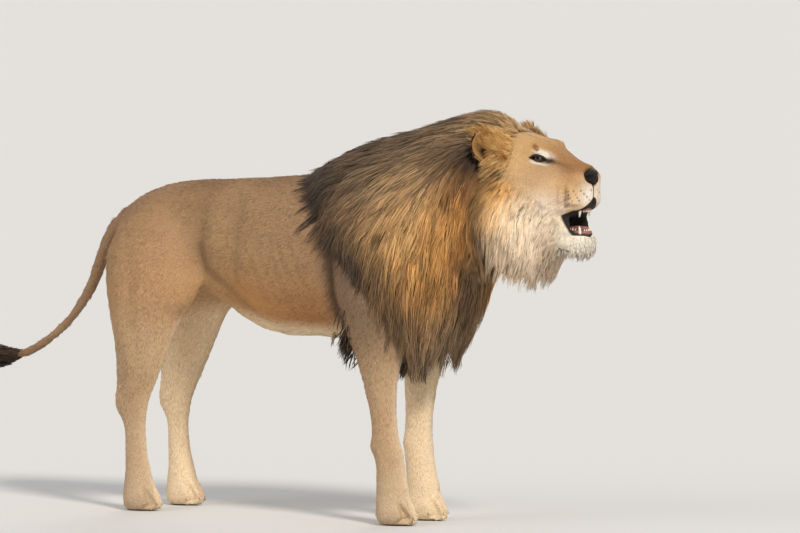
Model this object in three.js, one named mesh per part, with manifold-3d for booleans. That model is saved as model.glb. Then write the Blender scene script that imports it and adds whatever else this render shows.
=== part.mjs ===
// A standing adult male lion, life size, calling with its head raised.
// Millimetres, +X towards the nose, +Y to the lion's left, +Z up, the floor at Z = 0.
// Each body part is a closed form pulled through a few sections; neighbours are cut back so that they
// meet without overlap.
import * as THREE from "three";
import { mergeVertices } from "three/addons/utils/BufferGeometryUtils.js";
import Module from "manifold-3d";

const wasm = await Module();
wasm.setup();

// Driving dimensions
const GAP = 1; // left between pieces that meet
const FINE = 0.3; // facets finer than this are merged
const SIDES = { right: -1, left: 1 };
const EYE = { x: 789, y: 54, z: 1048, radius: 19 };
const NOSE = { x: 936, z: 1006, length: 21, halfWidth: 37, halfHeight: 22 };
const EAR = { x: 646, y: 118, z: 1084, halfHeight: 56, halfWidth: 46, depth: 28, wall: 8 };
const TAIL_RADIUS = { root: 34, tip: 13 };
const FORE_PAW = { x: 330, y: 104, halfLength: 66, halfWidth: 52 };
const HIND_PAW = { x: -540, y: 108, halfLength: 60, halfWidth: 47 };

// Looks
const COLOURS = {
  coat: 0xa98558,
  paleCoat: 0xd8c19a,
  goldMane: 0xa8783f,
  darkMane: 0x3f2e20,
  nose: 0x120d0b,
  eye: 0x8a5a1c,
  tongue: 0xb06a66,
  tooth: 0xe6d8b8,
};

function material(colour, roughness) {
  return new THREE.MeshStandardMaterial({ color: colour, roughness, metalness: 0 });
}

// Solids

function solidOf(geometry) {
  const bare = new THREE.BufferGeometry().setAttribute("position", geometry.getAttribute("position"));
  bare.setIndex(geometry.index);
  const merged = mergeVertices(bare, 1e-3);
  const corners = [];
  for (let i = 0; i < merged.index.count; i += 3) {
    const [a, b, c] = [0, 1, 2].map((k) => merged.index.getX(i + k));
    if (a !== b && b !== c && c !== a) corners.push(a, b, c);
  }
  const make = (list) =>
    new wasm.Manifold(
      new wasm.Mesh({
        numProp: 3,
        vertProperties: merged.attributes.position.array,
        triVerts: new Uint32Array(list),
      }),
    );
  const made = make(corners);
  return made.volume() > 0 ? made : make(corners.reverse());
}

function geometryOf(solid) {
  const mesh = solid.getMesh();
  return new THREE.BufferGeometry()
    .setAttribute("position", new THREE.BufferAttribute(mesh.vertProperties, 3))
    .setIndex(new THREE.BufferAttribute(mesh.triVerts, 1));
}

function largestPiece(solid) {
  return solid.decompose().sort((a, b) => b.volume() - a.volume())[0];
}

const union = (solids) => solids.reduce((sum, solid) => sum.add(solid));
function without(solid, others) {
  const rest = others.reduce((left, other) => left.subtract(other), solid);
  return largestPiece(rest).simplify(FINE);
}

function ellipsoid({ at, size, turn = [0, 0, 0], around = 10, along = 8 }, grow = 0) {
  const geometry = new THREE.SphereGeometry(1, around, along);
  geometry.scale(...size.map((s) => s + grow));
  geometry.applyMatrix4(new THREE.Matrix4().makeRotationFromEuler(new THREE.Euler(...turn)));
  geometry.translate(...at);
  return solidOf(geometry);
}

function box(low, high) {
  const size = low.map((v, i) => high[i] - v);
  const geometry = new THREE.BoxGeometry(...size);
  geometry.translate(...low.map((v, i) => (v + high[i]) / 2));
  return solidOf(geometry);
}

// A sphere's grid of points, each moved to place(t, angle), with t from 0 to 1 between its poles.
function pulledSphere(around, along, place) {
  const geometry = new THREE.SphereGeometry(1, around, along);
  const { position, uv } = geometry.attributes;
  for (let i = 0; i < position.count; i++) {
    const t = 1 - uv.getY(i);
    const point = place(t, 2 * Math.PI * uv.getX(i));
    position.setXYZ(i, point.x, point.y, point.z);
  }
  return solidOf(geometry);
}

// A smooth value between the rows of a table, at t from 0 to 1 along it, for each column.
function between(rows, t) {
  const s = t * (rows.length - 1);
  const i = Math.min(Math.floor(s), rows.length - 2);
  const f = s - i;
  const row = (k) => rows[Math.min(Math.max(k, 0), rows.length - 1)];
  return rows[i].map((_, c) => {
    const [a, b, d, e] = [row(i - 1)[c], row(i)[c], row(i + 1)[c], row(i + 2)[c]];
    const inward = (d - a) / 2;
    const outward = (e - b) / 2;
    const values = b * (1 + 2 * f) * (1 - f) ** 2 + d * f * f * (3 - 2 * f);
    return values + inward * f * (1 - f) ** 2 - outward * f * f * (1 - f);
  });
}

const power = (value, exponent) => Math.sign(value) * Math.abs(value) ** exponent;

// A form along X. Each row is x, height of the widest place, top, bottom, half width, and how square the
// upper and lower halves are.
function bodyAlongX(rows, { around, along, finish = (point) => point }, grow = 0) {
  return pulledSphere(around, along, (t, angle) => {
    const [x, middle, top, bottom, halfWidth, squareTop, squareBottom] = between(rows, t);
    const [c, s] = [Math.cos(angle), Math.sin(angle)];
    const square = s > 0 ? squareTop : squareBottom;
    const reach = (s > 0 ? top - middle : middle - bottom) + grow;
    const end = t < 0.5 ? -grow : grow;
    if (t === 0 || t === 1) return new THREE.Vector3(x + end, 0, middle);
    const y = Math.max(halfWidth + grow, 0) * power(c, 2 / square);
    return finish(new THREE.Vector3(x, y, middle + Math.max(reach, 0) * power(s, 2 / square)));
  });
}

// A form along Z. Each row is z, rear, front, distance from the middle plane, half width.
function limbAlongZ(rows, side, { around, along }, grow = 0) {
  return pulledSphere(around, along, (t, angle) => {
    const [z, rear, front, out, halfWidth] = between(rows, t);
    const middle = (rear + front) / 2;
    if (t === 0 || t === 1) return new THREE.Vector3(middle, side * out, z + (t ? -grow : grow));
    const x = middle + ((front - rear) / 2 + grow) * Math.cos(angle);
    return new THREE.Vector3(x, side * (out + (halfWidth + grow) * Math.sin(angle)), z);
  });
}

// Trunk: rows run from the buttocks to the front of the chest.
const TRUNK = [
  [-678, 800, 800, 800, 0, 2, 2],
  [-668, 795, 845, 735, 52, 2, 2],
  [-638, 795, 882, 690, 84, 2, 2],
  [-584, 795, 914, 655, 108, 2, 2],
  [-520, 795, 938, 632, 124, 2, 2],
  [-447, 792, 955, 622, 130, 2, 2],
  [-350, 785, 964, 614, 128, 2, 2],
  [-275, 772, 968, 576, 134, 2, 2.1],
  [-206, 755, 973, 537, 148, 2, 2.1],
  [-103, 738, 981, 507, 170, 2, 2.2],
  [0, 735, 992, 511, 185, 2, 2.2],
  [100, 735, 1011, 505, 192, 2, 2.1],
  [200, 738, 1038, 486, 186, 2, 2],
  [290, 742, 1052, 488, 172, 1.9, 2],
  [365, 735, 1030, 520, 150, 1.9, 2],
  [415, 725, 970, 560, 118, 2, 2],
  [444, 715, 860, 620, 70, 2, 2],
  [452, 715, 715, 715, 0, 2, 2],
];
const trunkForm = (grow) => bodyAlongX(TRUNK, { around: 18, along: 20 }, grow);

// Neck: from inside the shoulders to the back of the skull.
const NECK = [
  [210, 860, 860, 860, 0, 2, 2],
  [245, 860, 1040, 640, 138, 2, 2],
  [330, 878, 1060, 650, 144, 2, 2],
  [430, 905, 1082, 700, 132, 2, 2],
  [520, 932, 1100, 760, 122, 2, 2],
  [600, 958, 1110, 806, 114, 2, 2],
  [680, 972, 1100, 845, 98, 2, 2],
  [726, 966, 1050, 880, 64, 2, 2],
  [738, 966, 966, 966, 0, 2, 2],
];
const neckForm = (grow) => bodyAlongX(NECK, { around: 14, along: 8 }, grow);

// Head above the lip line: back of the skull, cheekbones, brow and muzzle.
const SKULL = [
  [570, 1010, 1010, 1010, 0, 2, 2],
  [584, 1008, 1075, 930, 62, 2, 2],
  [622, 1003, 1122, 885, 100, 2.2, 2],
  [672, 993, 1130, 862, 120, 2.4, 2],
  [720, 980, 1127, 853, 129, 2.2, 2],
  [760, 970, 1116, 855, 122, 1.9, 2.1],
  [795, 966, 1104, 862, 106, 1.7, 2.2],
  [822, 965, 1091, 870, 92, 1.7, 2.3],
  [848, 966, 1077, 880, 82, 1.7, 2.4],
  [878, 967, 1060, 890, 75, 1.7, 2.5],
  [904, 968, 1045, 901, 71, 1.8, 2.6],
  [924, 970, 1034, 912, 63, 1.9, 2.6],
  [937, 973, 1020, 926, 48, 2, 2.4],
  [943, 976, 1002, 942, 26, 2, 2],
  [946, 976, 976, 976, 0, 2, 2],
];
// Swellings and hollows of one side of the head: where, how far the surface moves there along a
// direction, and over what radius.
const HEAD_SHAPING = [
  { at: [903, 60, 955], move: [2, 8, 0], radius: 30 }, // whisker pad
  { at: [886, 60, 905], move: [0, 5, -6], radius: 28 }, // upper lip
  { at: [797, 50, 1092], move: [7, 5, 15], radius: 22 }, // brow
  { at: [750, 105, 985], move: [0, 12, 0], radius: 42 }, // cheekbone
  { at: [808, 74, 1048], move: [-9, -13, 0], radius: 21 }, // eye socket
  { at: [850, 70, 1015], move: [0, -9, 0], radius: 28 }, // hollow beside the bridge of the nose
];

function shaped(point) {
  const side = Math.sign(point.y) || 1;
  for (const { at, move, radius } of HEAD_SHAPING) {
    const near = new THREE.Vector3(at[0], side * at[1], at[2]);
    const share = Math.exp(-point.distanceToSquared(near) / (2 * radius ** 2));
    point.add(new THREE.Vector3(move[0], side * move[1], move[2]).multiplyScalar(share));
  }
  return point;
}

const skullForm = (grow) => bodyAlongX(SKULL, { around: 22, along: 24, finish: shaped }, grow);

// Lower jaw, dropped at the front, with a full chin.
const JAW = [
  [672, 880, 880, 880, 0, 2, 2],
  [690, 880, 915, 842, 62, 2, 2],
  [740, 872, 915, 822, 88, 2, 2],
  [800, 852, 890, 804, 78, 2, 2.1],
  [845, 832, 866, 790, 64, 2.4, 2.2],
  [878, 820, 848, 778, 54, 2.6, 2.3],
  [904, 816, 849, 773, 47, 2.6, 2.4],
  [920, 816, 848, 780, 36, 2.4, 2.2],
  [927, 818, 842, 794, 20, 2, 2],
  [930, 818, 818, 818, 0, 2, 2],
];
const jawForm = (grow) => bodyAlongX(JAW, { around: 14, along: 11 }, grow);

// Foreleg from the top of the shoulder blade to the wrist; the elbow is at the rear near z = 490.
const foreleg = (lean, inward) => [
  [1004, 248, 248, 70, 0],
  [985, 212, 285, 74, 24],
  [900, 190, 325, 98, 54],
  [800, 178, 375, 114, 68],
  [700, 172, 412, 120, 76],
  [620, 174, 424, 120, 77],
  [550, 182, 404, 116, 69],
  [490, 200, 374, 112, 59],
  [430, 220, 352, 112 - 0.3 * inward, 51],
  [350, 236 + 0.5 * lean, 348 + 0.5 * lean, 110 - 0.5 * inward, 46],
  [270, 246 + 0.8 * lean, 350 + 0.8 * lean, 108 - 0.8 * inward, 43],
  [200, 252 + lean, 358 + lean, 105 - inward, 45],
  [140, 262 + lean, 366 + lean, 104 - inward, 46],
  [100, 268 + lean, 378 + lean, 104 - inward, 47],
  [60, 276 + lean, 384 + lean, 104 - inward, 46],
  [32, 330 + lean, 330 + lean, 104 - inward, 0],
];

// Hind leg from the hip to the hock and foot; the knee is at the front near z = 600, the hock at the
// rear near z = 290.
const HIND_LEG = [
  [902, -500, -500, 68, 0],
  [880, -560, -432, 78, 36],
  [820, -628, -368, 90, 60],
  [750, -662, -340, 98, 70],
  [680, -664, -326, 104, 76],
  [620, -656, -338, 108, 76],
  [575, -650, -380, 111, 69],
  [523, -646, -410, 112, 60],
  [470, -642, -432, 112, 53],
  [416, -637, -455, 112, 46],
  [360, -634, -480, 111, 40],
  [310, -632, -500, 110, 37],
  [272, -626, -510, 109, 37],
  [220, -606, -518, 108, 34],
  [150, -598, -514, 108, 36],
  [100, -592, -502, 108, 41],
  [60, -590, -496, 108, 42],
  [32, -545, -545, 108, 0],
];

// The left forefoot stands a little behind the right one and nearer the middle.
const FORE_STANCE = { right: { lean: 6, inward: 0 }, left: { lean: -18, inward: 18 } };
const LEG_CUT = 92; // height at which a leg meets its paw

function legForm(fore, name, grow) {
  const { lean, inward } = FORE_STANCE[name];
  const rows = fore ? foreleg(lean, inward) : HIND_LEG;
  return limbAlongZ(rows, SIDES[name], { around: 12, along: 16 }, grow);
}

const above = (height) => box([-2000, -1000, height], [2000, 1000, 2000]);

// A paw. Each row is the height as a share of the cut's, the rear, front and half width as shares of
// the paw's, and the depth of the clefts between its four toes.
const PAW = [
  [0, -0.5, 0.7, 0.5, 0],
  [0, -0.82, 1.08, 0.84, 0.1],
  [0.18, -0.96, 1.3, 1.04, 0.16],
  [0.4, -0.98, 1.24, 1.08, 0.16],
  [0.62, -0.96, 0.92, 1, 0.1],
  [0.8, -0.95, 0.72, 0.93, 0.03],
  [1, -0.97, 0.62, 0.9, 0],
  [1, -0.4, 0.3, 0.4, 0],
];

function pawForm(fore, name) {
  const paw = fore ? FORE_PAW : HIND_PAW;
  const { lean, inward } = fore ? FORE_STANCE[name] : { lean: 0, inward: 0 };
  const middle = paw.y - inward;
  return pulledSphere(24, PAW.length - 1, (t, angle) => {
    const row = PAW[Math.round(t * (PAW.length - 1))];
    const [z, rear, front, halfWidth, cleft] = row;
    const pole = t === 0 || t === 1 ? 0 : 1;
    const ahead = Math.cos(angle);
    const depth = ahead > 0.01 ? cleft * (1 - Math.abs(Math.sin(4 * angle))) : 0; // no cleft behind
    const reach = paw.halfLength * (ahead > 0 ? front : -rear) * (1 - depth) * pole;
    const across = paw.halfWidth * halfWidth * (1 - depth) * pole;
    return new THREE.Vector3(
      paw.x + lean + reach * ahead,
      SIDES[name] * (middle + across * Math.sin(angle)),
      z * (LEG_CUT - GAP),
    );
  });
}

// Tail: hangs from the croup and sweeps out behind, with its dark tuft.
const TAIL = new THREE.CatmullRomCurve3(
  [
    [-600, 0, 868],
    [-660, 0, 842],
    [-718, 2, 775],
    [-754, 4, 710],
    [-787, 8, 639],
    [-859, 14, 543],
    [-969, 26, 458],
    [-1075, 42, 413],
    [-1160, 58, 405],
    [-1250, 72, 428],
  ].map((p) => new THREE.Vector3(...p)),
);
const TUFT_START = 0.8; // share of the tail's length at which the tuft begins

function tubeAlong(curve, radiusAt, { around, along, from = 0, to = 1 }, grow = 0) {
  return pulledSphere(around, along, (t, angle) => {
    const s = from + (to - from) * t;
    const centre = curve.getPointAt(s);
    const tangent = curve.getTangentAt(s);
    if (t === 0 || t === 1) return centre.addScaledVector(tangent, t ? grow : -grow);
    const across = new THREE.Vector3(0, 1, 0).cross(tangent).normalize();
    const other = new THREE.Vector3().crossVectors(tangent, across);
    const radius = radiusAt(t) + grow;
    return centre
      .addScaledVector(across, radius * Math.cos(angle))
      .addScaledVector(other, radius * Math.sin(angle));
  });
}

function tailForm(grow) {
  const { root, tip } = TAIL_RADIUS;
  const radiusAt = (t) => {
    const thin = tip + (root - tip) * (1 - t) ** 1.6;
    return thin * Math.min(1, Math.sqrt(12 * Math.min(t, 1 - t)));
  };
  return tubeAlong(TAIL, radiusAt, { around: 8, along: 22, to: TUFT_START + 0.03 }, grow);
}

function tuftForm() {
  const radiusAt = (t) => 38 * Math.sin(Math.PI * t ** 0.8) ** 0.8;
  return tubeAlong(TAIL, radiusAt, { around: 10, along: 8, from: TUFT_START });
}

// Mane over the crown, neck, shoulders and chest, out to the tips of its hair.
const MANE = [
  [14, 985, 985, 985, 0, 2, 2],
  [40, 965, 1000, 925, 90, 2, 2],
  [86, 935, 1026, 860, 152, 2, 2],
  [137, 900, 1054, 770, 196, 2, 2],
  [206, 855, 1081, 620, 230, 2, 1.7],
  [275, 830, 1098, 440, 246, 2, 1.45],
  [344, 822, 1116, 412, 250, 2, 1.45],
  [412, 822, 1137, 424, 240, 2, 1.8],
  [455, 835, 1152, 480, 226, 2, 2],
  [500, 855, 1166, 575, 208, 2, 2],
  [540, 885, 1176, 670, 190, 2, 2],
  [575, 930, 1180, 780, 168, 2, 2],
  [610, 985, 1178, 880, 134, 2, 2],
  [645, 1040, 1166, 970, 92, 2, 2],
  [668, 1080, 1140, 1030, 50, 2, 2],
  [678, 1090, 1090, 1090, 0, 2, 2],
];
const maneForm = (grow) => bodyAlongX(MANE, { around: 20, along: 18 }, grow);

// Hollow of the mane: an easy fit over the neck, the shoulders and the chest.
const MANE_HOLLOW = [
  [60, 735, 735, 735, 0, 2, 2],
  [80, 735, 985, 530, 165, 2, 2.1],
  [130, 738, 1037, 476, 206, 2, 2.2],
  [200, 740, 1064, 466, 208, 2, 2.2],
  [290, 745, 1078, 466, 208, 2, 2.2],
  [360, 755, 1088, 500, 196, 2, 2.1],
  [430, 790, 1100, 560, 176, 2, 2],
  [490, 860, 1110, 650, 150, 2, 2],
  [560, 930, 1122, 752, 134, 2, 2],
  [640, 980, 1132, 815, 122, 2, 2],
  [720, 980, 1110, 860, 100, 2, 2],
  [740, 980, 980, 980, 0, 2, 2],
];
const maneHollow = () => bodyAlongX(MANE_HOLLOW, { around: 16, along: 11 });

// Ruff: the pale hair that hangs from the cheeks and throat.
const RUFF = [
  [588, 880, 880, 880, 0, 2, 2],
  [600, 880, 1000, 750, 124, 2, 2],
  [630, 880, 1048, 698, 168, 2, 2],
  [675, 868, 1050, 680, 186, 2, 2],
  [722, 845, 1010, 686, 176, 2, 2],
  [762, 820, 945, 706, 142, 2, 2],
  [788, 805, 885, 738, 98, 2, 2],
  [804, 800, 840, 770, 56, 2, 2],
  [812, 800, 800, 800, 0, 2, 2],
];
const ruffForm = (grow) => bodyAlongX(RUFF, { around: 16, along: 10 }, grow);

// Ear: a round cup that opens forwards and outwards.
function earForm(side) {
  const turn = [side * -0.35, -0.12, side * 0.7];
  const { halfWidth, halfHeight, depth, wall } = EAR;
  const at = [EAR.x, side * EAR.y, EAR.z];
  const outer = ellipsoid({ at, size: [depth, halfWidth, halfHeight], turn, around: 10, along: 8 });
  const facing = new THREE.Vector3(1, 0, 0).applyEuler(new THREE.Euler(...turn));
  const hollowAt = facing.clone().multiplyScalar(wall).add(new THREE.Vector3(...at));
  const hollow = ellipsoid({
    at: hollowAt.toArray(),
    size: [depth - 1, halfWidth - wall, halfHeight - wall],
    turn,
    around: 10,
    along: 8,
  });
  const front = new THREE.BoxGeometry(200, 300, 300).translate(100 + 0.2 * depth, 0, 0);
  front.applyMatrix4(new THREE.Matrix4().makeRotationFromEuler(new THREE.Euler(...turn))).translate(...at);
  return outer.subtract(solidOf(front)).subtract(hollow);
}

function eyeForm(side, grow = 0) {
  const size = Array(3).fill(EYE.radius);
  return ellipsoid({ at: [EYE.x, side * EYE.y, EYE.z], size, around: 12, along: 8 }, grow);
}

const noseForm = (grow = 0) =>
  ellipsoid(
    {
      at: [NOSE.x, 0, NOSE.z],
      size: [NOSE.length, NOSE.halfWidth, NOSE.halfHeight],
      turn: [0, 0.25, 0],
      around: 12,
      along: 8,
    },
    grow,
  );

// Tongue and lower fangs, which the open mouth shows.
const TONGUE = { at: [868, 0, 855], size: [44, 30, 18], turn: [0, 0.1, 0], around: 12, along: 6 };
const FANG = { x: 906, y: 25, z: 843, height: 36, radius: 7 };

function fangForm(side) {
  const geometry = new THREE.ConeGeometry(FANG.radius, FANG.height, 10);
  geometry.rotateX(Math.PI / 2).rotateY(0.18).rotateX(side * -0.12);
  geometry.translate(FANG.x, side * FANG.y, FANG.z + FANG.height / 2 - 6);
  return solidOf(geometry);
}

// Assembly

const lion = new THREE.Group();

function add(name, solid, colour, roughness = 0.9) {
  const mesh = new THREE.Mesh(geometryOf(solid), material(colour, roughness));
  mesh.name = name;
  lion.add(mesh);
  return mesh;
}

const names = Object.keys(SIDES);
const legs = (grow) => names.flatMap((name) => [true, false].map((fore) => legForm(fore, name, grow)));
const eyes = (grow) => names.map((name) => eyeForm(SIDES[name], grow));

const tongue = without(ellipsoid(TONGUE), [jawForm(GAP), skullForm(GAP)]);
const fangs = names.map((name) => without(fangForm(SIDES[name]), [jawForm(GAP), ellipsoid(TONGUE, GAP)]));
const skull = without(skullForm(0), [...eyes(GAP), noseForm(GAP)]);
const jaw = without(jawForm(0), [skullForm(GAP)]);
const trunk = without(trunkForm(0), [...legs(GAP), tailForm(GAP)]);
const neck = without(neckForm(0), [trunkForm(GAP), ...legs(GAP), skullForm(GAP), jawForm(GAP)]);
const flesh = [trunkForm(GAP), neckForm(GAP), skullForm(GAP), jawForm(GAP), ...legs(GAP)];
const ears = names.map((name) => without(earForm(SIDES[name]), [skullForm(GAP)]));
const forelegs = names.map((name) => legForm(true, name, GAP));
const earHulls = ears.map((ear) => ear.hull());
const mane = without(maneForm(0), [maneHollow(), trunkForm(GAP), skullForm(GAP), ...forelegs, ...earHulls]);
const ruff = without(ruffForm(0), [...flesh, maneForm(GAP), ...earHulls]);

add("trunk", trunk, COLOURS.coat);
add("neck", neck, COLOURS.coat);
add("head", skull, COLOURS.coat);
add("jaw", jaw, COLOURS.paleCoat);
add("nose", noseForm(), COLOURS.nose, 0.4);
add("tongue", tongue, COLOURS.tongue, 0.4);
add("mane", mane, COLOURS.darkMane);
add("ruff", ruff, COLOURS.goldMane);
add("tail", without(tailForm(0), [tuftForm()]), COLOURS.coat);
add("tail_tuft", without(tuftForm(), [tailForm(GAP)]), COLOURS.darkMane);
names.forEach((name, i) => {
  add(`ear_${name}`, ears[i], COLOURS.coat);
  add(`eye_${name}`, eyeForm(SIDES[name]), COLOURS.eye, 0.1);
  add(`fang_${name}`, fangs[i], COLOURS.tooth, 0.3);
  for (const fore of [true, false]) {
    const end = fore ? "fore" : "hind";
    add(`${end}leg_${name}`, legForm(fore, name, 0).intersect(above(LEG_CUT)), COLOURS.coat);
    add(`${end}paw_${name}`, pawForm(fore, name), COLOURS.paleCoat);
  }
});

// The origin is on the floor, in the middle of the whole lion.
const bounds = new THREE.Box3().setFromObject(lion);
const middle = bounds.getCenter(new THREE.Vector3());
lion.children.forEach((mesh) => mesh.position.set(-middle.x, -middle.y, -bounds.min.z));

export default lion;
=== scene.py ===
"""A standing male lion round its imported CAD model: one sculpted skin, with the coat, the mane and the
tail's tuft on it as solid hair."""

import math
from collections import namedtuple

import bmesh
import bpy
import numpy as np
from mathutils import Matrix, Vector
from mathutils.bvhtree import BVHTree

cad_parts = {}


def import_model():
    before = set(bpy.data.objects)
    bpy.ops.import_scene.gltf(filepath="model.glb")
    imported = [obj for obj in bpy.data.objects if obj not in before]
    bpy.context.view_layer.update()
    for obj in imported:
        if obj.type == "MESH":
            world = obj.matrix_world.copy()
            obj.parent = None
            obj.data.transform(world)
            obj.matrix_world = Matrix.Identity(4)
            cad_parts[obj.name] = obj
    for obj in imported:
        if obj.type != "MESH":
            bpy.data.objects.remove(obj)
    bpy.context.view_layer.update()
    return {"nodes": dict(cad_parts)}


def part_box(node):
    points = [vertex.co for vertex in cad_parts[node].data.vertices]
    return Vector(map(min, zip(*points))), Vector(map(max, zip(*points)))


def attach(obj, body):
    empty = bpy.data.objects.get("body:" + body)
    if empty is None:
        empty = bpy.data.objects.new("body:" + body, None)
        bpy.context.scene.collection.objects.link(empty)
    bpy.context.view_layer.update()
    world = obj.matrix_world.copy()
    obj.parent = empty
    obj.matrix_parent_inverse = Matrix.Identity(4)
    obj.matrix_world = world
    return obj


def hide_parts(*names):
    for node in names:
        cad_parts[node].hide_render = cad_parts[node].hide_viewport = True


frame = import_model()

SIDES = {"right": -1, "left": 1}
FLESH = ["trunk", "neck", "head", "jaw", "tail"]
FLESH += [f"{part}_{side}" for part in ("ear", "foreleg", "forepaw", "hindleg", "hindpaw") for side in SIDES]
PAWS = [f"{part}_{side}" for part in ("forepaw", "hindpaw") for side in SIDES]
HAIR = ["mane", "ruff", "tail_tuft"]

# The lion's own coordinates are millimetres, with the floor at z = 0 and x = 0 behind the shoulders.
# The eyes' places in the frame tie them to the world.
EYE = np.array([789.0, 54.0, 1048.0])
EYE_RADIUS = 19.0
eye_low, eye_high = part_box("eye_right")
ORIGIN = np.array([(eye_low.x + eye_high.x) * 500 - EYE[0], 0, (eye_low.z + eye_high.z) * 500 - EYE[2]])


def lion(points):
    return np.asarray(points) * 1000 - ORIGIN


def world(points):
    return (np.asarray(points) + ORIGIN) / 1000


def unit(vectors):
    return vectors / np.maximum(np.linalg.norm(vectors, axis=-1, keepdims=True), 1e-9)


def ramp(value, low, high):
    """0 below low, 1 above high, smooth between."""
    t = np.clip((value - low) / (high - low), 0, 1)
    return t * t * (3 - 2 * t)


def mirrored(points):
    """The points with y made positive, and each one's side."""
    side = np.where(points[:, 1] < 0, -1.0, 1.0)
    folded = points.copy()
    folded[:, 1] *= side
    return folded, side


def near(points, centre, radii):
    """A soft spot: 1 at the centre, falling off over the radii."""
    return np.exp(-0.5 * (((points - np.array(centre)) / np.array(radii)) ** 2).sum(1))


# Meshes as arrays


def arrays(mesh):
    points = np.empty(len(mesh.vertices) * 3, np.float32)
    mesh.vertices.foreach_get("co", points)
    return points.reshape(-1, 3).astype(float)


def triangles(mesh):
    mesh.calc_loop_triangles()
    corners = np.empty(len(mesh.loop_triangles) * 3, np.int32)
    mesh.loop_triangles.foreach_get("vertices", corners)
    return corners.reshape(-1, 3)


def mesh_of(name, points, faces):
    """A mesh from world points and an array of faces with the same number of corners."""
    mesh = bpy.data.meshes.new(name)
    faces = np.asarray(faces)
    count, corners = faces.shape
    mesh.vertices.add(len(points))
    mesh.vertices.foreach_set("co", np.asarray(points, np.float32).ravel())
    mesh.loops.add(count * corners)
    mesh.loops.foreach_set("vertex_index", faces.ravel().astype(np.int32))
    mesh.polygons.add(count)
    mesh.polygons.foreach_set("loop_start", np.arange(0, count * corners, corners, dtype=np.int32))
    mesh.update(calc_edges=True)
    mesh.shade_smooth()
    return mesh


def piece(name, mesh, material, replaces=()):
    made = bpy.data.objects.new(name, mesh)
    bpy.context.scene.collection.objects.link(made)
    made.data.materials.append(material)
    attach(made, "root")
    if replaces:
        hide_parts(*replaces)
    return made


def paint(mesh, colours, name="Coat"):
    layer = mesh.attributes.new(name, "FLOAT_COLOR", "POINT")
    rgba = np.ones((len(mesh.vertices), 4), np.float32)
    rgba[:, :3] = np.clip(colours, 0, 1)
    layer.data.foreach_set("color", rgba.ravel())


def normals_of(points, tris):
    faces = np.cross(points[tris[:, 1]] - points[tris[:, 0]], points[tris[:, 2]] - points[tris[:, 0]])
    total = np.zeros_like(points)
    for corner in range(3):
        for axis in range(3):
            total[:, axis] += np.bincount(tris[:, corner], faces[:, axis], len(points))
    return unit(total)


def smoothed(points, edges, rounds, strength=0.5):
    """Laplacian smoothing, with a strength for each point or one for all."""
    a, b = edges.T
    degree = np.maximum(np.bincount(a, minlength=len(points)) + np.bincount(b, minlength=len(points)), 1)
    strength = np.broadcast_to(np.asarray(strength, float), len(points))[:, None]
    for _ in range(rounds):
        mean = np.stack(
            [
                np.bincount(a, points[b, k], len(points)) + np.bincount(b, points[a, k], len(points))
                for k in range(3)
            ],
            1,
        )
        points = points + strength * (mean / degree[:, None] - points)
    return points


def move_points(mesh, points):
    """Puts the mesh's points at new places, in the lion's coordinates."""
    mesh.vertices.foreach_set("co", world(points).astype(np.float32).ravel())
    mesh.update()


def edges_of(mesh):
    pairs = np.empty(len(mesh.edges) * 2, np.int32)
    mesh.edges.foreach_get("vertices", pairs)
    return pairs.reshape(-1, 2)


def merged(name, parts):
    """One mesh of several, which are taken away."""
    made = bmesh.new()
    for part in parts:
        made.from_mesh(part)
        bpy.data.meshes.remove(part)
    mesh = bpy.data.meshes.new(name)
    made.to_mesh(mesh)
    made.free()
    return mesh


def joined(names, fill_ears=False):
    """The CAD nodes' solids in one mesh; the ears may be filled to their rims."""
    solids = []
    for name in names:
        part = bmesh.new()
        part.from_mesh(bpy.data.objects[frame["nodes"][name].name].data)
        if fill_ears and name.startswith("ear"):
            hull = bmesh.ops.convex_hull(part, input=part.verts)
            inner = set(hull["geom_interior"] + hull["geom_unused"])
            unused = [v for v in inner if isinstance(v, bmesh.types.BMVert)]
            bmesh.ops.delete(part, geom=unused, context="VERTS")
            holes = [f for f in set(hull["geom_holes"]) if isinstance(f, bmesh.types.BMFace) and f.is_valid]
            bmesh.ops.delete(part, geom=holes, context="FACES_ONLY")
        solid = bpy.data.meshes.new("part")
        part.to_mesh(solid)
        part.free()
        solids.append(solid)
    return merged("joined", solids)


def add_ellipsoid(mesh, centre, radii):
    """Adds an ellipsoid of the lion's coordinates to a mesh, before it is remeshed."""
    made = bmesh.new()
    made.from_mesh(mesh)
    ball = bmesh.ops.create_uvsphere(made, u_segments=24, v_segments=16, radius=1)
    for v in ball["verts"]:
        v.co = Vector(world(np.array(v.co) * radii + centre))
    made.to_mesh(mesh)
    made.free()
    return mesh


def remeshed(mesh, voxel):
    helper = bpy.data.objects.new("helper", mesh)
    bpy.context.scene.collection.objects.link(helper)
    modifier = helper.modifiers.new("Voxels", "REMESH")
    modifier.mode = "VOXEL"
    modifier.voxel_size = voxel
    result = bpy.data.meshes.new_from_object(helper.evaluated_get(bpy.context.evaluated_depsgraph_get()))
    bpy.data.objects.remove(helper)
    return result


def largest_island(mesh):
    """The mesh without the small closed shells that a remesh leaves inside it."""
    edges = edges_of(mesh)
    label = np.arange(len(mesh.vertices))
    while True:
        low = np.minimum(label[edges[:, 0]], label[edges[:, 1]])
        before = label.copy()
        np.minimum.at(label, edges[:, 0], low)
        np.minimum.at(label, edges[:, 1], low)
        label = label[label]
        if np.array_equal(before, label):
            break
    keep = label == np.bincount(label).argmax()
    if keep.all():
        return mesh
    number = np.cumsum(keep) - 1
    tris = triangles(mesh)
    tris = tris[keep[tris[:, 0]]]
    return mesh_of(mesh.name, arrays(mesh)[keep], number[tris])


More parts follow.
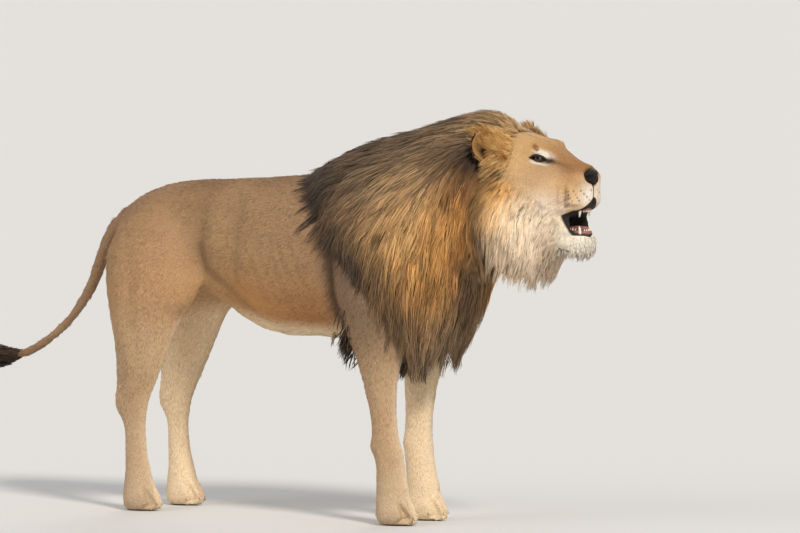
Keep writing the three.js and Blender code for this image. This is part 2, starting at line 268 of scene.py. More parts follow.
def refined(mesh, wanted):
    """Splits each face that wanted(centres) picks into four."""
    made = bmesh.new()
    made.from_mesh(mesh)
    picked = wanted(lion([f.calc_center_median() for f in made.faces]))
    edges = {e for f, yes in zip(made.faces, picked) if yes for e in f.edges}
    bmesh.ops.subdivide_edges(made, edges=list(edges), cuts=1, use_grid_fill=True)
    made.to_mesh(mesh)
    made.free()
    return mesh


def swell(mesh, distance):
    """Smooths a mesh and moves it out along its normals."""
    p = smoothed(lion(arrays(mesh)), edges_of(mesh), 3)
    move_points(mesh, p + distance * normals_of(p, triangles(mesh)))


def cut_away(mesh, place, direction):
    """Takes off what lies beyond a plane, and closes the cut."""
    made = bmesh.new()
    made.from_mesh(mesh)
    whole = [*made.verts, *made.edges, *made.faces]
    cut = bmesh.ops.bisect_plane(
        made, geom=whole, plane_co=world(place), plane_no=direction, clear_outer=True
    )
    rim = [e for e in cut["geom_cut"] if isinstance(e, bmesh.types.BMEdge)]
    bmesh.ops.triangulate(made, faces=bmesh.ops.holes_fill(made, edges=rim)["faces"])
    made.to_mesh(mesh)
    made.free()


# Shape of the skin


def cheek_line(z):
    """How far forward the long hair of the cheek reaches at a height."""
    return np.interp(z, [790, 830, 861, 904, 938, 1005, 1040, 1080], [846, 866, 862, 845, 812, 742, 700, 668])


def face_region(p):
    bare = (p[:, 0] > cheek_line(p[:, 2]) - 60) | (p[:, 2] > 1040)
    return (p[:, 0] > 615) & (p[:, 2] > 740) & bare


def fine_face_region(p):
    front = (p[:, 0] > 862) & (p[:, 2] > 830) & (p[:, 2] < 1050)
    eyes = np.linalg.norm(mirrored(p)[0] - np.array([800, 62, 1052]), axis=1) < 44
    return front | eyes


EYE_FRONT = np.array([803, 66, 1053])


def eye_region(p):
    return np.linalg.norm(mirrored(p)[0] - EYE_FRONT, axis=1) < 32


def ear_region(p):
    """The rim of each ear, where the cup's wall is thin."""
    ahead, across, up = ear_place(mirrored(p)[0], 1)
    r = np.hypot(across / EAR_SIZE[0], up / EAR_SIZE[1])
    return (r > 0.45) & (r < 1.3) & (np.abs(ahead) < 45) & (np.abs(p[:, 1]) > 92)


def paw_region(p):
    return p[:, 2] < 80


CHEEK_FILLS = [  # centre and radii of the cheeks behind the corners of the mouth
    ((822, 50, 866), (56, 27, 34)),
    ((780, 60, 880), (60, 34, 44)),
    ((874, 47, 866), (21, 13, 33)),
]


def with_cheeks(mesh):
    for side in (-1, 1):
        for centre, radii in CHEEK_FILLS:
            mesh = add_ellipsoid(mesh, np.array(centre) * [1, side, 1], np.array(radii))
    return mesh


BODY_FORMS = [  # centre, radii, height of each swelling (+) or hollow (-) of one side of the body
    ((250, 170, 880), (70, 60, 90), 8),  # shoulder blade
    ((225, 205, 670), (42, 60, 80), 13),  # triceps
    ((300, 205, 610), (36, 50, 80), 8),  # biceps
    ((212, 160, 530), (20, 40, 34), 9),  # elbow
    ((330, 130, 470), (26, 50, 60), 5),  # forearm's muscle
    ((268, 130, 380), (14, 40, 70), -3),  # furrow of the forearm
    ((140, 190, 680), (26, 60, 130), -13),  # hollow behind the upper arm
    ((-335, 130, 800), (20, 70, 90), -11),  # groove before the thigh
    ((-275, 130, 770), (26, 60, 45), 5),  # flank
    ((-235, 140, 860), (44, 60, 40), -6),  # hollow below the loin
    ((-200, 150, 790), (16, 60, 90), -5),  # last rib
    ((-300, 110, 640), (40, 60, 26), 8),  # skin from the flank to the knee
    ((-400, 110, 905), (40, 40, 28), 8),  # hip bone
    ((-385, 125, 845), (40, 40, 40), -5),  # below the hip bone
    ((-520, 160, 770), (80, 60, 90), 9),  # rump
    ((-600, 120, 640), (26, 50, 90), 5),  # back of the thigh
    ((-540, 170, 600), (16, 50, 90), -4),  # furrow of the thigh
    ((-390, 165, 625), (40, 50, 50), 7),  # knee
    ((-455, 160, 520), (34, 50, 60), 5),  # shin's muscle
    ((-628, 110, 305), (14, 30, 24), 8),  # point of the hock
    ((-590, 120, 400), (16, 40, 60), -6),  # hollow before the hock's tendon
    ((-645, 120, 450), (30, 60, 70), -9),  # hollow above the hock, behind
    ((-560, 110, 250), (14, 40, 60), -3),  # cannon
    ((-100, 140, 560), (150, 80, 40), 5),  # belly
    ((346, 108, 300), (16, 44, 60), -5),  # front of the forearm, over the wrist
    ((356, 108, 205), (18, 44, 26), 5),  # wrist
    ((264, 108, 222), (16, 36, 16), 9),  # bone behind the wrist
    ((272, 108, 160), (16, 36, 24), -6),  # hollow below it
    ((260, 108, 300), (16, 36, 50), -3),
    ((310, 146, 240), (30, 16, 60), -4),  # flat outer side of the wrist
    ((-522, 108, 330), (16, 36, 50), -5),  # front of the hock
    ((-600, 108, 225), (14, 36, 44), -6),  # tendon below the hock
    ((-560, 136, 260), (26, 16, 70), -4),
]
FLANK_FOLD = [(-332, 760), (-310, 700), (-246, 655), (-167, 602), (-110, 548)]  # x and z along it
ARM_FOLD = [(150, 830), (160, 740), (160, 650), (168, 570), (190, 520)]
THIGH_LINE = [(-345, 900), (-338, 800), (-332, 740)]
RIB_LINE = [(-192, 880), (-204, 780), (-196, 690)]


def crease(points, path, width):
    """1 on a line drawn on the body's side, falling off beside it."""
    place = points[:, [0, 2]]
    near_line = np.full(len(points), 1e9)
    for start, end in zip(path[:-1], path[1:]):
        start, along = np.array(start, float), np.array(end, float) - start
        share = np.clip((place - start) @ along / (along @ along), 0, 1)
        near_line = np.minimum(near_line, np.linalg.norm(place - start - share[:, None] * along, axis=1))
    return np.exp(-0.5 * (near_line / width) ** 2)


def body_forms(points, normals):
    p, _ = mirrored(points)
    height = np.zeros(len(p))
    for centre, radii, amount in BODY_FORMS:
        height += amount * near(p, centre, radii)
    outside = ramp(p[:, 1], 40, 90)
    height -= 5 * crease(p, FLANK_FOLD, 10) * outside
    height -= 9 * crease(p, ARM_FOLD, 9) * ramp(p[:, 1], 120, 160)
    # Faint ribs, leaning back as they go down, on the rear of the chest.
    along = p[:, 0] + 0.35 * (p[:, 2] - 750) + 9 * np.sin(p[:, 2] / 60)
    chest = near(p, (-40, 180, 700), (110, 70, 90))
    height += 0.55 * chest * np.sin(along / 44 * 2 * math.pi + 0.5 * np.sin(along / 71))
    # The groove of the spine.
    height -= 4 * np.exp(-0.5 * (p[:, 1] / 14) ** 2) * ramp(p[:, 2], 930, 960) * ramp(-p[:, 0], -200, 0)
    return points + normals * height[:, None]


def coat_depth(points):
    """How far the skin lies inside the tips of the coat."""
    x, _, z = points.T
    depth = np.full(len(points), 7.0)
    depth -= 3.0 * ramp(x, 640, 760)
    depth -= 2.0 * ramp(x, 860, 930)
    depth -= 3.5 * (1 - ramp(z, 90, 260)) * (x < 500)
    depth = np.where((x < -640) & (z < 830), 3.5 - 4.5 * ramp(-x, 850, 1050), depth)
    return depth


def ear_frame(side):
    """Centre, and facing, outward and upward directions of an ear, from its box in the CAD."""
    low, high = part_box(f"ear_{'left' if side > 0 else 'right'}")
    centre = (lion(low) + lion(high)) / 2
    turn_x, turn_y, turn_z = side * -0.35, -0.12, side * 0.7
    cx, sx, cy, sy, cz, sz = (f(a) for a in (turn_x, turn_y, turn_z) for f in (math.cos, math.sin))
    rx = np.array([[1, 0, 0], [0, cx, -sx], [0, sx, cx]])
    ry = np.array([[cy, 0, sy], [0, 1, 0], [-sy, 0, cy]])
    rz = np.array([[cz, -sz, 0], [sz, cz, 0], [0, 0, 1]])
    facing, sideways, upward = (rx @ ry @ rz).T
    return centre, facing, sideways * np.sign(sideways[1]) * side, upward


def ear_place(points, side):
    """How far ahead of, outward of and above the middle of an ear the points are."""
    centre, facing, outward, upward = ear_frame(side)
    d = points - centre
    return d @ facing, d @ outward, d @ upward


EAR_SIZE = (46.0, 56.0)  # half width and half height of an ear
EAR_CUP = (40.0, 49.0)  # half width and half height of its hollow
EAR_WALL = 5.0
EAR_DEPTH = 24.0


def hollow_ears(points, normals, edges, tris):
    """Presses the front of each ear in, as far as leaves a wall behind it."""
    solid = BVHTree.FromPolygons(points.tolist(), tris.tolist())
    for side in (-1, 1):
        facing = ear_frame(side)[1]
        ahead, across, up = ear_place(points, side)
        r = np.hypot(across / EAR_CUP[0], up / EAR_CUP[1])
        on_side = points[:, 1] * side > 90
        front = (normals @ facing > 0.05) & (r < 1) & (ahead > -25) & (ahead < 40) & on_side
        depth = np.zeros((len(points), 3))
        for i in np.flatnonzero(front):
            hit = solid.ray_cast((points[i] - facing).tolist(), (-facing).tolist(), EAR_DEPTH + EAR_WALL)
            depth[i] = EAR_DEPTH if hit[0] is None else max(hit[3] - EAR_WALL, 0)
        depth = smoothed(depth, edges, 2, 0.5) * (front * ramp(1 - r, 0, 0.5))[:, None]
        points = points - facing * depth
        ear = (r < 1.35) & (np.abs(ahead) < 50) & (points[:, 1] * side > 90)
        points = smoothed(points, edges, 3, 0.45 * ear)
    return points


# Muzzle, lips, brow and chin: centre, radii, and the move of the surface there.
FACE_FORMS = [
    ((912, 56, 946), (17, 26, 18), (3, 13, -2)),  # whisker pad
    ((938, 24, 944), (12, 14, 22), (4, 1, -2)),  # front of the whisker pad
    ((956, 44, 946), (18, 20, 30), (-15, -4, 0)),  # outer front corner of the muzzle
    ((890, 74, 946), (6, 20, 20), (0, -11, 0)),  # crease behind the pad
    ((904, 68, 926), (16, 20, 4.5), (0, -8, 0)),  # crease below the pad
    ((876, 78, 942), (9, 20, 26), (0, 5, 0)),  # fold of the cheek behind the crease
    ((893, 68, 908), (30, 20, 8), (0, 6, 0)),  # rim of the upper lip
    ((852, 76, 900), (22, 20, 13), (0, 5, 0)),  # lip towards the corner
    ((880, 62, 978), (26, 16, 9), (0, 3, 2)),  # ridge over the pad
    ((862, 52, 1022), (26, 16, 20), (0, -8, -2)),  # hollow beside the bridge
    ((900, 44, 1004), (14, 12, 14), (0, -3, 0)),  # behind the nostril
    ((924, 0, 1034), (13, 24, 9), (9, 0, 2)),  # fur over the nose
    ((918, 38, 1006), (12, 8, 18), (5, 6, 0)),  # wing of the nostril
    ((806, 92, 1006), (26, 22, 20), (0, 6, 1)),  # cheek below the eye
    ((828, 62, 1036), (16, 10, 9), (-2, -5, -1)),  # groove under the inner corner of the eye
    ((852, 34, 1062), (44, 10, 10), (0, 4, 4)),  # edge of the bridge of the nose
    ((860, 0, 1076), (50, 8, 14), (0, 0, -3)),  # middle of the bridge
    ((784, 0, 1118), (44, 10, 14), (0, 0, -8)),  # furrow between the brows
    ((803, 42, 1088), (22, 18, 10), (5, 4, 4)),  # brow
    ((786, 76, 1072), (18, 16, 8), (4, 6, 2)),  # outer brow
    ((745, 92, 1068), (24, 22, 20), (0, -6, -2)),  # temple
    ((760, 108, 1010), (34, 26, 22), (0, 5, 0)),  # cheekbone
    ((918, 30, 806), (18, 22, 18), (6, 3, -3)),  # chin
    ((880, 44, 812), (22, 14, 16), (0, 4, -1)),  # side of the chin
    ((895, 40, 846), (26, 14, 6), (2, 5, 4)),  # lower lip
]


MUZZLE_SIDEWAYS, MUZZLE_CORNER = [0.83, 0.56, 0], 798.0  # a direction, and how far the muzzle reaches in it


def face_forms(points):
    p, side = mirrored(points)
    for centre, radii, move in FACE_FORMS:
        p = p + near(p, centre, radii)[:, None] * np.array(move)
    # The cleft under the nose, and the step of the lip's edge.
    cleft = np.exp(-0.5 * (p[:, 1] / 3.2) ** 2) * ramp(p[:, 0], 925, 940) * (1 - ramp(p[:, 2], 978, 986))
    p[:, 0] -= 6 * cleft * ramp(p[:, 2], 905, 920)
    # The corners of the muzzle's front are rounded off.
    beyond = np.maximum(p @ MUZZLE_SIDEWAYS - MUZZLE_CORNER, 0) * ramp(p[:, 2], 866, 880)
    p[:, 0] -= 1.1 * beyond * (1 - ramp(p[:, 2], 985, 1000))
    p[:, 1] *= side
    return p


def eye_axes(side):
    """Directions out of an eye, along it towards its inner corner, and up it."""
    out = np.array([0.70, side * 0.66, 0.27])
    out /= np.linalg.norm(out)
    along = np.array([0.62, -side * 0.72, -0.10])
    along -= out * (along @ out)
    along /= np.linalg.norm(along)
    up = np.cross(along, out) * -side
    return out, along, up * np.sign(up[2])


EYE_AXES = {side: eye_axes(side) for side in (-1, 1)}
EYE_MIDDLE, EYE_OPENING = -4.0, 23.0  # middle of the opening along the eye, and half its width


def lid_heights(a):
    """Heights of the upper and lower lid above the eye's middle line, at a along it."""
    t = np.clip((a - EYE_MIDDLE) / EYE_OPENING, -1, 1)
    arch = 1 - t**2
    tilt = -2.8 * t
    return tilt + 6.4 * arch * (1 - 0.3 * t), tilt - 8.2 * arch * (1 - 0.1 * t)


def set_eyes(points):
    """Wraps the skin round the eyeballs, leaving the opening between the lids."""
    for side in (-1, 1):
        out, along, up = EYE_AXES[side]
        centre = EYE * [1, side, 1]
        d = points - centre
        a, b, c = d @ along, d @ up, d @ out
        r = np.sqrt(a**2 + b**2)
        ball = np.sqrt(np.maximum((EYE_RADIUS + 2.2) ** 2 - r**2, 0))
        dome = EYE_RADIUS + 2.4 - r**2 / 84
        upper, lower = lid_heights(a)
        gap = np.minimum(b - lower, upper - b)  # above 0 between the lids
        fold = b - 12.5 - 0.05 * a
        lid = np.maximum(dome, ball) + 0.8 * np.exp(-0.5 * (gap / 1.6) ** 2)
        lid = lid - 2.0 * np.exp(-0.5 * (fold / 1.8) ** 2) * (1 - ramp(np.abs(a), 14, 26))
        lid = lid + 2.4 * np.exp(-0.5 * ((fold - 5.5) / 3.2) ** 2) * (1 - ramp(np.abs(a), 16, 30))
        lid = lid - 1.4 * np.exp(-0.5 * ((b + 13 + 0.1 * a) / 1.8) ** 2) * (1 - ramp(np.abs(a), 12, 24))
        between = (gap > 0.2) & (np.abs(a - EYE_MIDDLE) < EYE_OPENING)
        target = np.where(between, np.minimum(ball, 14.0) - 7, lid)
        blend = 1 - ramp(np.sqrt((a / 1.25) ** 2 + b**2), 15, 30)
        move = np.where(c > 2, blend * (target - c), 0)
        points = points + out * move[:, None]
    return points


def toes(points, normals):
    """Four toes on each paw, with clefts between them and a knuckle on each."""
    x, y, z = points.T
    height = np.zeros(len(points))
    for paw in PAWS:
        low, high = (lion(corner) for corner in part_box(paw))
        across = (y - (low[1] + high[1]) / 2) / ((high[1] - low[1]) / 2)
        on_paw = (np.abs(across) < 1.3) & (x > low[0] - 10) & (z < high[2])
        ahead = ramp(x, high[0] - 70, high[0] - 34)
        level = ramp(z, 3, 14) * (1 - ramp(z, 46, 72))
        clefts = sum(np.exp(-0.5 * ((across - place) / 0.10) ** 2) for place in (-0.5, 0, 0.5))
        knuckle = np.exp(-0.5 * (((x - high[0] + 38) / 13) ** 2 + ((z - 50) / 11) ** 2))
        knuckle = 6 * knuckle * (1 - clefts) * (np.abs(across) < 1)
        height += on_paw * (-11 * clefts * ahead * level + knuckle)
    return points + normals * height[:, None]


SKIN_VOXEL = 0.0092


def build_skin():
    mesh = largest_island(remeshed(with_cheeks(joined(FLESH, fill_ears=True)), SKIN_VOXEL))
    edges = edges_of(mesh)
    p = lion(arrays(mesh))
    head = ramp(p[:, 0], 560, 640)
    paws = 1 - ramp(p[:, 2], 70, 110)
    tail = ramp(-p[:, 0], 640, 720) * (1 - ramp(p[:, 2], 800, 860))
    p = smoothed(p, edges, 10, (0.55 - 0.40 * tail) * (1 - head) * (1 - paws))
    move_points(mesh, smoothed(p, edges, 3, 0.5 * np.maximum(head, paws)))
    for region in (lambda c: face_region(c) | paw_region(c), fine_face_region, eye_region, ear_region):
        mesh = refined(mesh, region)
    p, edges, tris = lion(arrays(mesh)), edges_of(mesh), triangles(mesh)
    head = ramp(p[:, 0], 560, 640)
    p = smoothed(p, edges, 3, 0.5 * np.maximum(head, 1 - ramp(p[:, 2], 70, 110)))
    n = normals_of(p, tris)
    p = p - n * coat_depth(p)[:, None]
    p = body_forms(p, n)
    p = toes(p, n)
    p = hollow_ears(p, n, edges, tris)
    p = face_forms(p)
    p = set_eyes(p)
    p[:, 2] = np.maximum(p[:, 2], 0.5)
    move_points(mesh, p)
    mesh.shade_smooth()
    return mesh


skin = build_skin()
skin_points, skin_tris = lion(arrays(skin)), triangles(skin)
skin_normals = normals_of(skin_points, skin_tris)

# The outer surface of the coat, over body and mane together
OUTER_VOXEL = 0.012
GROOVE = 13.0  # grooves of up to twice this width are bridged
outer_mesh = largest_island(remeshed(with_cheeks(joined(FLESH + HAIR, fill_ears=True)), OUTER_VOXEL))
swell(outer_mesh, GROOVE)
outer_mesh = largest_island(remeshed(outer_mesh, OUTER_VOXEL))
swell(outer_mesh, -GROOVE)
outer_points = lion(arrays(outer_mesh))
outer_tris = triangles(outer_mesh)
OUTER = BVHTree.FromPolygons(outer_points.tolist(), outer_tris.tolist())
SKIN = BVHTree.FromPolygons(skin_points.tolist(), skin_tris.tolist())


def nearest(tree, points):
    """The nearest places on a surface, its normals there, and the distances."""
    places, normals, distances = [], [], []
    for point in points.tolist():
        place, normal, _, distance = tree.find_nearest(point)
        places.append(place)
        normals.append(normal)
        distances.append(distance)
    return np.array(places).reshape(-1, 3), np.array(normals).reshape(-1, 3), np.array(distances)


def dropped(points, direction):
    """Where lines from the points in a direction meet the skin, and its normals there; where a line
    misses it, the nearest place to the point."""
    places, normals = [], []
    for point in points.tolist():
        place, normal, _, _ = SKIN.ray_cast(point, direction.tolist())
        if place is None:
            place, normal, _, _ = SKIN.find_nearest(point)
        places.append(place)
        normals.append(normal)
    return np.array(places), np.array(normals)


# The lie of the hair: places on the lion's side, each with a radius and a direction

MANE_FLOW = [
    (660, 0, 1150, 60, (-1, 0.15, 0.1)),
    (600, 40, 1175, 60, (-1, 0.3, -0.05)),
    (500, 60, 1165, 80, (-0.95, 0.3, -0.22)),
    (400, 60, 1130, 80, (-0.93, 0.3, -0.32)),
    (250, 100, 1080, 80, (-0.9, 0.2, -0.42)),
    (100, 100, 1010, 80, (-0.92, 0.1, -0.4)),
    (60, 60, 950, 60, (-0.93, 0, -0.38)),
    (120, 180, 870, 70, (-0.72, 0, -0.68)),
    (160, 200, 780, 60, (-0.6, 0, -0.8)),
    (250, 220, 900, 70, (-0.62, 0, -0.78)),
    (350, 230, 960, 70, (-0.62, 0, -0.78)),
    (450, 210, 1010, 70, (-0.62, 0, -0.78)),
    (540, 190, 1090, 50, (-0.75, 0.1, -0.62)),
    (605, 150, 1130, 40, (-0.85, 0.3, -0.4)),
    (610, 150, 1030, 40, (-0.3, 0, -0.95)),
    (570, 180, 920, 60, (-0.2, 0, -0.98)),
    (480, 210, 850, 60, (-0.28, 0, -0.96)),
    (400, 230, 780, 60, (-0.3, 0, -0.95)),
    (280, 235, 760, 60, (-0.42, 0, -0.9)),
    (200, 220, 690, 50, (-0.42, 0, -0.9)),
    (300, 230, 600, 70, (-0.2, 0, -0.98)),
    (420, 200, 620, 70, (-0.1, 0, -1)),
    (500, 150, 650, 70, (-0.15, 0, -1)),
    (560, 0, 720, 70, (-0.2, 0, -1)),
    (400, 80, 480, 70, (-0.06, 0, -1)),
]

RUFF_FLOW = [
    (620, 150, 1010, 40, (-0.35, 0, -0.93)),
    (690, 160, 960, 50, (-0.42, 0.1, -0.9)),
    (720, 150, 850, 50, (-0.2, 0, -0.98)),
    (640, 180, 860, 60, (-0.22, 0, -0.97)),
    (760, 80, 780, 50, (-0.25, 0, -0.96)),
    (700, 0, 720, 60, (-0.2, 0, -1)),
    (800, 40, 770, 40, (-0.6, 0, -0.8)),
]

FACE_FLOW = [
    (940, 20, 1030, 20, (-0.9, 0.3, 0.45)),  # bridge of the nose
    (880, 20, 1072, 30, (-0.93, 0.1, 0.35)),
    (800, 30, 1110, 30, (-0.97, 0.1, 0.1)),
    (730, 40, 1130, 40, (-1, 0.15, -0.02)),
    (660, 70, 1120, 40, (-0.9, 0.45, 0.1)),
    (830, 70, 1050, 20, (-0.75, 0.3, 0.5)),  # inner corner of the eye
    (790, 80, 1085, 20, (-0.85, 0.3, 0.4)),
    (760, 100, 1050, 25, (-0.97, 0.1, -0.1)),
    (700, 115, 1040, 30, (-0.9, 0.3, -0.3)),
    (812, 95, 1000, 30, (-0.85, 0.1, -0.5)),
    (870, 75, 980, 25, (-0.9, 0.2, 0.0)),
    (925, 50, 960, 20, (-0.8, 0.4, -0.35)),  # whisker pad
    (890, 70, 925, 20, (-0.8, 0.2, -0.55)),
    (930, 20, 925, 14, (-0.2, 0.5, -0.85)),
    (850, 85, 920, 25, (-0.7, 0.1, -0.7)),
    (760, 115, 960, 40, (-0.55, 0.15, -0.82)),
    (700, 130, 980, 40, (-0.5, 0.2, -0.84)),
    (790, 95, 890, 40, (-0.45, 0.1, -0.88)),
    (850, 60, 850, 30, (-0.5, 0.1, -0.85)),
    (800, 30, 800, 40, (-0.7, 0, -0.7)),
    (920, 20, 820, 25, (0.25, 0.1, -0.96)),  # chin
    (885, 45, 820, 25, (-0.25, 0.1, -0.96)),
]

BODY_FLOW = [
    (-640, 20, 880, 60, (-0.7, 0, -0.6)),  # croup
    (-500, 60, 940, 70, (-0.97, 0.15, -0.1)),
    (-300, 0, 970, 80, (-1, 0.15, 0)),  # back
    (0, 0, 995, 80, (-1, 0.2, 0)),
    (150, 0, 1015, 80, (-1, 0.2, 0)),
    (-300, 120, 880, 80, (-0.85, 0.1, -0.5)),
    (0, 170, 880, 100, (-0.85, 0.1, -0.5)),
    (-200, 150, 740, 90, (-0.82, 0, -0.57)),
    (50, 180, 700, 90, (-0.78, 0, -0.62)),
    (-100, 100, 560, 80, (-0.95, 0, -0.3)),  # belly
    (0, 0, 510, 80, (-1, 0, 0)),
    (-330, 90, 640, 50, (-0.6, 0, -0.8)),  # fold of the flank
    (-450, 160, 780, 80, (-0.55, 0, -0.83)),  # thigh
    (-560, 130, 700, 80, (-0.35, 0, -0.93)),
    (-480, 150, 560, 70, (-0.45, 0, -0.9)),
    (-580, 110, 400, 70, (-0.15, 0, -0.98)),
    (-580, 110, 180, 70, (0.0, 0, -1)),
    (-500, 110, 40, 50, (0.85, 0, -0.5)),
    (250, 190, 800, 80, (-0.45, 0, -0.9)),  # shoulder and foreleg
    (230, 190, 640, 70, (-0.35, 0, -0.93)),
    (260, 140, 480, 70, (-0.2, 0, -0.98)),
    (320, 110, 280, 70, (0.02, 0, -1)),
    (310, 110, 130, 50, (0.1, 0, -0.99)),
    (370, 110, 40, 50, (0.85, 0, -0.5)),
    (-720, 0, 760, 60, (-0.55, 0, -0.83)),  # tail
    (-860, 0, 540, 70, (-0.62, 0, -0.78)),
    (-1000, 20, 440, 60, (-0.92, 0.1, -0.35)),
    (-1200, 60, 420, 70, (-0.99, 0.15, 0.05)),
]
COAT_FLOW = BODY_FLOW + FACE_FLOW


def lie(points, field):
    """The direction the hair lies in, blended from places with a direction each, on either side."""
    p, side = mirrored(points)
    total = np.zeros_like(p)
    for x, y, z, radius, direction in field:
        share = np.exp(-0.5 * ((p - [x, y, z]) ** 2).sum(1) / radius**2) + 1e-12
        total += share[:, None] * np.array(direction)
    total[:, 1] *= side
    return unit(total)


def tangent(direction, normal):
    return direction - normal * (direction * normal).sum(1, keepdims=True)


LIE_STEP = 30  # degrees between the directions that the fur's streaks can take
LIE_COUNT = 180 // LIE_STEP


def paint_lie(mesh, points, normals, field):
    """Keeps, for each point, how much of the streaks of each direction its fur shows."""
    flow = tangent(lie(points, field), normals)
    angle = np.degrees(np.arctan2(-flow[:, 2], flow[:, 0]))
    turns = (angle[:, None] - LIE_STEP * np.arange(LIE_COUNT) + 90) % 180 - 90
    share = ramp(1 - np.abs(turns) / LIE_STEP, 0, 1)
    share /= share.sum(1, keepdims=True)
    for k in range(0, LIE_COUNT, 3):
        paint(mesh, share[:, k : k + 3], f"Lie_{k // 3}")


# Materials


MOTTLE_DARK = (0.35, 0.33, 0.3, 1)  # what the darkest places of a mottled material are multiplied by


def node(nodes, kind, **values):
    """A new node with values of its inputs, in whose names an underscore stands for a space."""
    made = nodes.new(f"ShaderNode{kind}")
    for name, value in values.items():
        made.inputs[name.replace("_", " ")].default_value = value
    return made


def attribute_node(nodes, name):
    made = node(nodes, "Attribute")
    made.attribute_name = name
    return made


def new_material(name, roughness, specular):
    made = bpy.data.materials.new(name)
    made.use_nodes = True
    shader = made.node_tree.nodes["Principled BSDF"]
    shader.inputs["Roughness"].default_value = roughness
    shader.inputs["Specular IOR Level"].default_value = specular
    return made, made.node_tree.nodes, made.node_tree.links, shader


def add_relief(nodes, links, shader, height, strength, distance):
    relief = node(nodes, "Bump", Strength=strength, Distance=distance)
    links.new(height, relief.inputs["Height"])
    links.new(relief.outputs["Normal"], shader.inputs["Normal"])


def material(
    name, roughness, colour=None, attribute=None, bump=0.0, scale=400.0, specular=0.5, mottle=0.0, coat=0.0
):
    """A material of one colour, or of the colours kept in an attribute, with noise in its relief and tone."""
    made, nodes, links, shader = new_material(name, roughness, specular)
    shader.inputs["Coat Weight"].default_value = coat
    if colour:
        shader.inputs["Base Color"].default_value = (*colour, 1)
    source = attribute_node(nodes, attribute) if attribute else None
    place = node(nodes, "TexCoord")
    noise = node(nodes, "TexNoise", Scale=scale, Detail=4)
    links.new(place.outputs["Object"], noise.inputs["Vector"])
    if mottle:
        mix = node(nodes, "Mix")
        mix.data_type = "RGBA"
        mix.blend_type = "MULTIPLY"
        mix.inputs["Factor"].default_value = mottle
        if source:
            links.new(source.outputs["Color"], mix.inputs["A"])
        else:
            mix.inputs["A"].default_value = (*colour, 1)
        patches = node(nodes, "ValToRGB")
        dark, light = patches.color_ramp.elements
        dark.position, dark.color = 0.3, MOTTLE_DARK
        light.position, light.color = 0.62, (1, 1, 1, 1)
        links.new(noise.outputs["Fac"], patches.inputs["Fac"])
        links.new(patches.outputs["Color"], mix.inputs["B"])
        links.new(mix.outputs["Result"], shader.inputs["Base Color"])
    elif source:
        links.new(source.outputs["Color"], shader.inputs["Base Color"])
    if bump:
        add_relief(nodes, links, shader, noise.outputs["Fac"], bump, 0.002)
    return made


def fur_material(name, roughness, scale, stretch, shade, relief, specular=0.25):
    """Fur whose fine streaks run along the lie of the coat, in relief and in light and dark."""
    made, nodes, links, shader = new_material(name, roughness, specular)
    place = node(nodes, "TexCoord")
    total = None
    for k in range(LIE_COUNT):
        if k % 3 == 0:
            split = node(nodes, "SeparateColor")
            links.new(attribute_node(nodes, f"Lie_{k // 3}").outputs["Color"], split.inputs["Color"])
        turned = node(
            nodes, "Mapping", Rotation=(0, math.radians(LIE_STEP * k), 0), Scale=(stretch, 1, 1)
        )
        turned.vector_type = "TEXTURE"
        streaks = node(nodes, "TexNoise", Scale=scale, Detail=3)
        part = node(nodes, "Math")
        part.operation = "MULTIPLY_ADD"
        links.new(place.outputs["Object"], turned.inputs["Vector"])
        links.new(turned.outputs["Vector"], streaks.inputs["Vector"])
        links.new(streaks.outputs["Fac"], part.inputs[0])
        links.new(split.outputs[k % 3], part.inputs[1])
        part.inputs[2].default_value = 0
        if total:
            links.new(total.outputs[0], part.inputs[2])
        total = part
    tone = node(nodes, "MapRange", From_Min=0.36, From_Max=0.64, To_Min=1 - shade, To_Max=1 + 0.35 * shade)
    links.new(total.outputs[0], tone.inputs["Value"])
    shaded_colour = node(nodes, "VectorMath")
    shaded_colour.operation = "SCALE"
    links.new(attribute_node(nodes, "Coat").outputs["Color"], shaded_colour.inputs[0])
    links.new(tone.outputs["Result"], shaded_colour.inputs["Scale"])
    links.new(shaded_colour.outputs["Vector"], shader.inputs["Base Color"])
    add_relief(nodes, links, shader, total.outputs[0], relief, 0.003)
    return made


# Colours, as linear red, green, blue, at places on the lion's side


def coloured(points, places):
    """Blends the colours of named places by nearness. Each place is x, y, z, radius, colour, weight."""
    p, _ = mirrored(points)
    total = np.zeros((len(p), 3))
    weight = np.zeros(len(p)) + 1e-9
    for x, y, z, radius, colour, w in places:
        share = w * np.exp(-0.5 * ((p - [x, y, z]) ** 2).sum(1) / radius**2)
        total += share[:, None] * np.array(colour)
        weight += share
    return total / weight[:, None]


